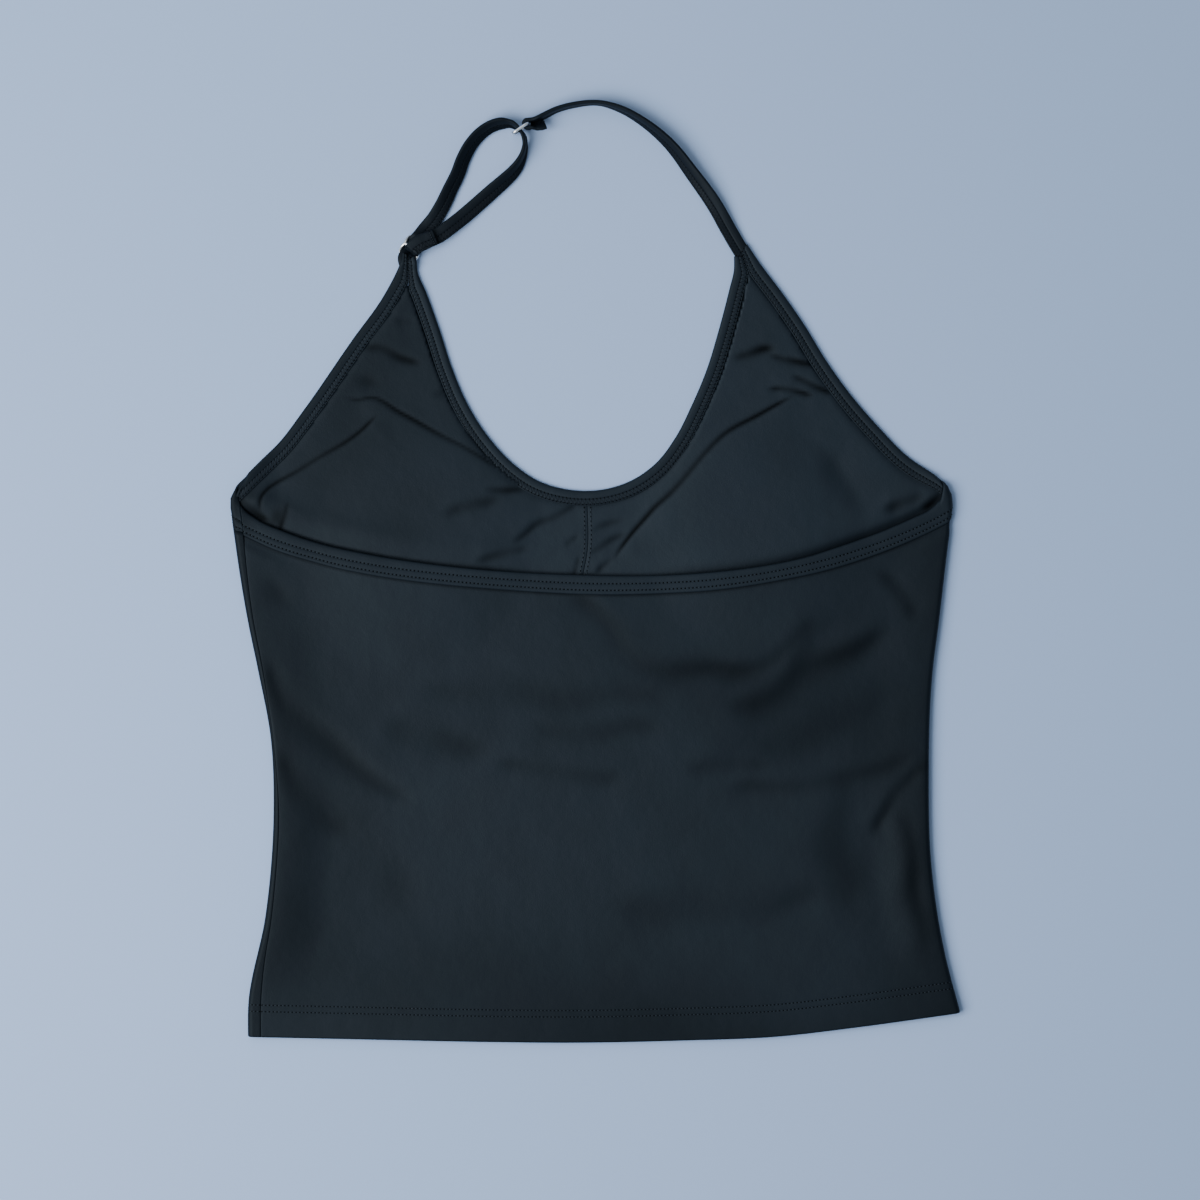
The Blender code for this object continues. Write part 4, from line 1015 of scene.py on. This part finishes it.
class Sewing:
    """Collects stitches and the painted shade of their needle holes, as near-black marks, and makes one mesh
    of each.
    """

    def __init__(self, hole_size=0.3, material=THREAD):
        self.hole_size = hole_size
        self.material = material
        self.threads = []
        self.holes = []

    def row(self, line, normal, pitch=STITCH, fill=0.62, lift=0.12, hole_lift=0.04):
        """Stitches along a line, with holes between them; fill is a stitch's share of the pitch."""
        walk = path_length(line)
        at = stitch_places(walk, pitch)
        middle = (at[:-1] + at[1:]) / 2
        half = fill * pitch / 2
        out = read_at(walk, normal, middle) * lift
        self.threads.append([read_at(walk, line, end) + out for end in (middle - half, middle + half)])
        way = read_at(walk, unit(np.gradient(line, axis=0)), at) * HOLE_HALF
        hole = read_at(walk, line, at) + read_at(walk, normal, at) * hole_lift
        self.holes.append((hole - way, hole + way))

    def zigzag(self, first, second, normal, pitch=STITCH, lift=0.16):
        """Looper threads that cross between two rows."""
        walk = path_length(first)
        far_walk = path_length(second)
        at = stitch_places(walk, pitch)
        out = read_at(walk, normal, at) * lift
        near = read_at(walk, first, at) + out
        share = at / walk[-1] + 0.5 / (len(at) - 1)
        far = read_at(far_walk, second, share * far_walk[-1]) + out
        self.threads += [(near[:-1], far[:-1]), (far[:-1], near[1:])]

    def make(self, name, slot, pieces):
        """Add the two meshes to a list of pieces."""
        pieces.append(capsules(name + "_thread", self.threads, STITCH_RADIUS, (self.material, slot), 1.0))
        pieces.append(capsules(name + "_holes", self.holes, self.hole_size, (HOLE_SHADE, slot), HOLE_FLAT))


def sew_front_binding(edges, name, pieces):
    """The inner side of a coverstitch: two needle rows and the looper's zigzag between them."""
    sewing = Sewing(hole_size=0.42, material=LOOPER_THREAD)
    rows = []
    for share in (PLAIN_ROW, INNER_ROW):
        line, normal = strip_at(edges, share, INNER_DEPTH, False)
        rows.append(line)
        sewing.row(line, -normal, fill=0.4, hole_lift=0.1)
        under, under_normal = strip_at(edges, share, OUTER_DEPTH, False)
        sewing.row(under, under_normal)
    sewing.zigzag(*rows, -normal)
    sewing.make(name, "binding_knit", pieces)


def sew_back_binding(edges, name, pieces):
    sewing = Sewing(hole_size=0.5)
    for share in BACK_ROWS:
        line, normal = strip_at(edges, share, BAND_DEPTH, True)
        sewing.row(line, normal, pitch=2.05, fill=0.4, hole_lift=0.06)
    sewing.make(name, "binding_knit", pieces)


def sew_hem(from_back, name, pieces):
    """The hem's two outer rows, on the back or on the front."""
    sewing = Sewing(hole_size=0.36)
    seam, past_right = (seam_on_back, 2.5) if from_back else (left_seam, -1.0)
    for above in HEM_ROWS:
        nominal = hem_edge(np.linspace(-183, 192, 500)) + above
        start = seam(nominal) + 0.6
        unrolled = start + (fold_start(1, nominal) + past_right - start) * np.linspace(0, 1, 500)
        skin, _ = on_tube(unrolled, nominal, from_back)
        skin, normal = on_tube(unrolled, hem_edge(skin[:, 0]) + above, from_back)
        sewing.row(skin - normal * HEM_STITCH_DEPTH, normal, fill=0.55)
    sewing.make(name, "shell_knit", pieces)


def sew_centre_seam(pieces):
    sewing = Sewing()
    y = np.linspace(*SEAM_SPAN, 300)
    for side in (-1, 1):
        x = centre_seam(y) + side * SEAM_ROW
        z, _ = lining_surface(x, y, np.full(y.shape, 60.0))
        line = np.stack([x, y, z + 0.02], axis=1)
        sewing.row(line, np.tile((0, 0, 1.0), (len(line), 1)), pitch=2.4)
    sewing.make("centre_seam_stitches", "lining_knit", pieces)


# ---- straps ----
# The plain rolled part of a strap lies on one side and its two rows of stitches on the other;
# rows are shares of its width, from -0.5 on the right of its way to 0.5 on the left.

HALTER_ROWS = (0.04, 0.38)
LOOP_ROWS = (-0.04, -0.38)
STRAP_EDGE = ((0.5, 0.0), (0.49, 0.28), (0.46, 0.41))
STRAP_FACE = (0.41, 0.34, 0.26, 0.18, 0.1)  # shares at which its profile has points, either side
FACE_HIGH = 0.42  # height of its faces as a share of its thickness
PLAIN_MIDDLE = {1: -0.24, -1: 0.26}  # share at the middle of its plain part, by the side of its rows
PLAIN_SWELL = (0.09, 0.15)  # how far that part swells, and the share around it that does
ROW_SUNK = 0.13
ROW_SIDE = 0.035  # from a row to the points beside it
ROW_HEIGHT = 0.33  # of the stitches, as a share of the strap's thickness
# stations of a strap before its turn round a wire, in the turn and after it
HALTER_COUNTS = (230, 12, 14)
LOOP_COUNTS = (350, 14, 30)


def strap_run(route, count, thin=PINCHED_THICKNESS, at_slider=SLIDER_PINCH):
    """Stations along a route: centre, width direction and size of each; it is pinched at the metal."""
    rows = curve(route, count)
    plan = rows[:, :2]
    roll = np.radians(rows[:, 3])
    across = np.concatenate([normals_of(plan, 1) * np.cos(roll)[:, None], np.sin(roll)[:, None]], axis=1)
    rest = (STRAP_WIDTH * np.abs(np.sin(roll)) + STRAP_THICKNESS * np.abs(np.cos(roll))) / 2
    centre = np.concatenate([plan, (rest + rows[:, 2])[:, None]], axis=1)
    size = np.tile(np.array((STRAP_WIDTH, STRAP_THICKNESS)), (count, 1))
    for metal, width in ((RING_CENTRE, RING_PINCH), (SLIDER_CENTRE, at_slider)):
        pinch = 1 - smooth(*PINCH_REACH, np.linalg.norm(plan - np.array(metal), axis=1))[:, None]
        size = size + (np.array((width, thin)) - size) * pinch
    return centre, across, size


def strap_turn(wire, start, onward, across, width, count, thin=PINCHED_THICKNESS):
    """Stations half way round a wire, from the start direction by way of the onward one."""
    radius = WIRE / 2 + WIRE_GAP + thin / 2
    angle = np.linspace(0, math.pi, count)[:, None]
    points = np.array(wire) + radius * (np.array(start) * np.cos(angle) + np.array(onward) * np.sin(angle))
    return points, np.tile(np.array(across, float), (count, 1)), np.tile((width, thin), (count, 1))


def strap_stations(before, turn, after):
    """All stations of a strap that turns round a wire: centre, width direction, outward and size."""
    parts = (before, [part[1:-1] for part in turn], after)
    centre, across, size = (np.concatenate(part) for part in zip(*parts))
    across = unit(across)
    way = unit(np.gradient(centre, axis=0))
    across = unit(across - way * np.sum(across * way, axis=1, keepdims=True))
    return centre, across, np.cross(way, across), size


def strap_profile(rows):
    """Outline of a folded, stitched strap: share of its width and share of its thickness."""
    plain_middle = PLAIN_MIDDLE[1 if rows[0] > 0 else -1]
    wide = {sign * at for at in STRAP_FACE for sign in (-1, 1)}
    wide |= {row + step for row in rows for step in (-ROW_SIDE, 0, ROW_SIDE)}
    face = []
    for at in sorted(wide, reverse=True):
        swell = PLAIN_SWELL[0] * math.exp(-((at - plain_middle) / PLAIN_SWELL[1]) ** 2)
        face.append((at, FACE_HIGH + swell - (ROW_SUNK if at in rows else 0)))
    upper = [*STRAP_EDGE, *face, *((-at, high) for at, high in STRAP_EDGE[::-1])]
    return upper + [(at, -high) for at, high in upper[-2:0:-1]]


def strap_cloth(name, stations, rows, replaces, pieces):
    """A folded, stitched strip with its rows sunk in, and the stitches of both faces."""
    centre, across, out, size = stations
    rings = np.stack([centre + across * size[:, :1] * at + out * size[:, 1:] * high
                      for at, high in strap_profile(rows)], axis=1)
    rings[..., 2] = np.maximum(rings[..., 2], 0.02)
    made = loft(name, rings, True, STRAP, replaces)
    sewing = Sewing(material=LOOPER_THREAD)
    for face in (1, -1):
        lines = [centre + across * size[:, :1] * row + out * size[:, 1:] * face * ROW_HEIGHT for row in rows]
        for line in lines:
            sewing.row(line, out * face, pitch=1.9, lift=0.1)
        sewing.zigzag(*lines, out * face, pitch=1.9, lift=0.24)
    sewing.make(name + "_stitches", "binding_knit", pieces)
    return made


def level_way(way):
    """A direction in plan as a unit vector."""
    return np.array((*unit(np.array(way)), 0))


def halter_stations():
    way = level_way(RING_WAY)
    square = np.array((-way[1], way[0], 0))
    near_side = np.array((*RING_CENTRE, RING_HEIGHT)) - RING_HALF * way
    before, turning, after = HALTER_COUNTS
    turn = strap_turn(near_side, -square, way, (0, 0, -1), RING_PINCH, turning, TURNED_THICKNESS)
    entry, leaving = ((*turn[0][end][:2], RING_HEIGHT - STRAP_WIDTH / 2, -90) for end in (0, -1))
    run = strap_run([*HALTER_ROUTE, entry], before, TURNED_THICKNESS)
    stub = strap_run([leaving, *HALTER_STUB], after, TURNED_THICKNESS)
    return strap_stations(run, turn, stub)


def by_slider(along, left, *rest):
    """A row of a route given along and to the left of the slider's own way, in the model's x and y."""
    way = level_way(SLIDER_WAY)
    return (SLIDER_CENTRE[0] + along * way[0] - left * way[1],
            SLIDER_CENTRE[1] + along * way[1] + left * way[0], *rest)


def loop_stations():
    way = level_way(SLIDER_WAY)
    bar_way = np.array((way[1], -way[0], 0))
    bar = np.array((*SLIDER_CENTRE, SLIDER_LOW + SLIDER_RISE))
    before, turning, after = LOOP_COUNTS
    turn = strap_turn(bar + 0.3 * bar_way, (0, 0, -1), -way, -bar_way, FLAP_WIDTH, turning)
    entry, leaving = ((*SLIDER_CENTRE, turn[0][end][2] - STRAP_THICKNESS / 2, roll)
                      for end, roll in ((0, 180), (-1, 0)))
    through, back, over = ([by_slider(*row) for row in rows]
                           for rows in (THROUGH_SLIDER, BACK_TO_SLIDER, FLAP))
    run = strap_run([*LOOP_START, *through, *LOOP_ROUTE, *back, entry], before, LOOP_THICKNESS)
    flap = strap_run([leaving, *over], after, at_slider=FLAP_WIDTH)
    return strap_stations(run, turn, flap)


def tack_flap(stations, pieces):
    """The cross seam near the end of the strap's flap; its needle holes are painted shade."""
    centre, across, out, size = (part[-5] for part in stations)
    upward = out if out[2] > 0 else -out
    line = np.linspace(-0.42, 0.42, 12)[:, None] * across * size[0] + centre + upward * size[1] * 0.5
    sewing = Sewing()
    sewing.row(line, np.tile(upward, (len(line), 1)), pitch=1.1, fill=0.8)
    sewing.make("flap_tack", "binding_knit", pieces)


# ---- metal ----

def wire_piece(name, points, closed, replaces=()):
    """Bent wire through points in millimetres."""
    wire = bpy.data.curves.new(name, "CURVE")
    wire.dimensions = "3D"
    wire.bevel_depth = WIRE / 2 * MM
    wire.bevel_resolution = 5
    wire.use_fill_caps = True
    spline = wire.splines.new("POLY")
    spline.points.add(len(points) - 1)
    for point, at in zip(spline.points, points):
        point.co = (*(np.array(at) * MM), 1)
    spline.use_cyclic_u = closed
    spline.use_smooth = True
    return riding(name, wire, METAL, replaces)


def metal_ring(name, half_long, half_wide, place, replaces):
    """A closed wire ring with round corners; place puts its own two sizes into the model."""
    points = []
    for quarter in range(4):
        middle = math.radians(90 * quarter + 45)
        corner_x = math.copysign(half_long - METAL_CORNER, math.cos(middle))
        corner_y = math.copysign(half_wide - METAL_CORNER, math.sin(middle))
        for step in range(7):
            angle = math.radians(90 * quarter + 15 * step)
            points.append(place(corner_x + METAL_CORNER * math.cos(angle),
                                corner_y + METAL_CORNER * math.sin(angle)))
        if quarter % 2 == 0:
            for share in np.linspace(1, -1, 15)[1:-1]:
                points.append(place(corner_x * share, math.copysign(half_wide, corner_y)))
    return wire_piece(name, points, True, replaces)


def strap_metal():
    def in_ring(along, up):
        return np.array((*RING_CENTRE, RING_HEIGHT + up)) + along * level_way(RING_WAY)

    def in_slider(along, across):
        height = SLIDER_LOW + SLIDER_RISE * (1 - (along / SLIDER_HALF_LENGTH) ** 2) ** 2
        bulge = SLIDER_BULGE * math.sin(math.pi * min(1, abs(along) / SLIDER_HALF_LENGTH))
        across = across + math.copysign(bulge, across) - SLIDER_SHIFT
        return by_slider(along, -across, height)

    ring = metal_ring("ring_wire", RING_HALF, RING_HALF, in_ring, ["ring_upper"])
    slide = metal_ring("slider_wire", SLIDER_HALF_LENGTH, SLIDER_HALF_WIDTH, in_slider, ["slider"])
    ends = (in_slider(0, -SLIDER_HALF_WIDTH), in_slider(0, SLIDER_HALF_WIDTH))
    return [ring, slide, wire_piece("slider_bar", ends, False)]


# ---- the garment ----

FRONT_BINDINGS = (("neck", "", NECK_EDGES), ("armhole", "_left", LEFT_ARMHOLE_EDGES),
                  ("armhole", "_right", RIGHT_ARMHOLE_EDGES))

back = back_cloth()
front = front_cloth()
lining_left_cloth = lining_cloth("lining_cloth_left", -1, ["lining_left"])
lining_right_cloth = lining_cloth("lining_cloth_right", 1, ["lining_right"])
front_with = [binding_cloth(f"{part}_binding{side}", edges, FRONT_PROFILE, False, [f"{part}_band{side}"])
              for part, side, edges in FRONT_BINDINGS]
back_with = [binding_cloth("back_binding", BACK_BAND_EDGES, BACK_PROFILE, True, ["back_band"])]
for part, side, edges in FRONT_BINDINGS:
    sew_front_binding(edges, f"{part}{side}_stitches", front_with)
sew_hem(False, "front_hem_stitches", front_with)
sew_back_binding(BACK_BAND_EDGES, "back_band_stitches", back_with)
sew_hem(True, "back_hem_stitches", back_with)
lining_with = []
sew_centre_seam(lining_with)
halter = strap_cloth("halter_strap_cloth", halter_stations(), HALTER_ROWS, ["halter_strap"], front_with)
loop_way = loop_stations()
loop = strap_cloth("adjuster_strap_cloth", loop_way, LOOP_ROWS, ["adjuster_strap"], front_with)
tack_flap(loop_way, front_with)
front_with += [halter, loop] + strap_metal()

# ---- stage, in metres ----

FLOOR = (0.375, 0.50, 0.745)
FLOOR_HALF = 4
FLOOR_DROP = 0.0003
WINDOW_COLOUR = (0.93, 0.97, 1.0)
UPPER_COLOUR = (0.95, 0.98, 1.0)
AIR_COLOUR = (0.82, 0.92, 1.0)
AIR_STRENGTH = 0.32
VIEW_CENTRE = (0.0024, -0.0150)
VIEW_SIDE = 0.6336  # of the square that the camera takes in
CAMERA_HEIGHT = 2.4
SENSOR = 36  # its width, in millimetres


def area_light(name, place, size, power, colour):
    """A square lamp that faces the middle of the garment."""
    light = bpy.data.lights.new(name, "AREA")
    light.size = size
    light.energy = power
    light.color = colour
    made = placed(name, light)
    made.location = place
    made.rotation_euler = (-Vector(place)).to_track_quat("-Z", "Y").to_euler()


floor_mesh = bpy.data.meshes.new("floor")
floor_corners = [(x * FLOOR_HALF, y * FLOOR_HALF, 0) for x, y in ((-1, -1), (1, -1), (1, 1), (-1, 1))]
floor_mesh.from_pydata(floor_corners, [], [(0, 1, 2, 3)])
floor_mesh.materials.append(plain("floor_paper", FLOOR, 0.9, 0.2)[0])
floor = placed("floor", floor_mesh)
floor.location.z = -FLOOR_DROP

area_light("window", place=(-1.0, -0.3, 1.2), size=1.2, power=38, colour=WINDOW_COLOUR)
area_light("upper", place=(-0.5, 1.3, 1.6), size=1.4, power=6, colour=UPPER_COLOUR)
world = bpy.data.worlds.new("studio")
world.use_nodes = True
air = world.node_tree
feed(air, air.nodes["Background"], {"Color": (*AIR_COLOUR, 1), "Strength": AIR_STRENGTH})
bpy.context.scene.world = world

# the camera looks straight down, as the photograph does
camera_data = bpy.data.cameras.new("camera")
camera_data.sensor_width = SENSOR
camera_data.lens = SENSOR * CAMERA_HEIGHT / VIEW_SIDE
camera = placed("camera", camera_data)
camera.location = (*VIEW_CENTRE, CAMERA_HEIGHT)
bpy.context.scene.camera = camera
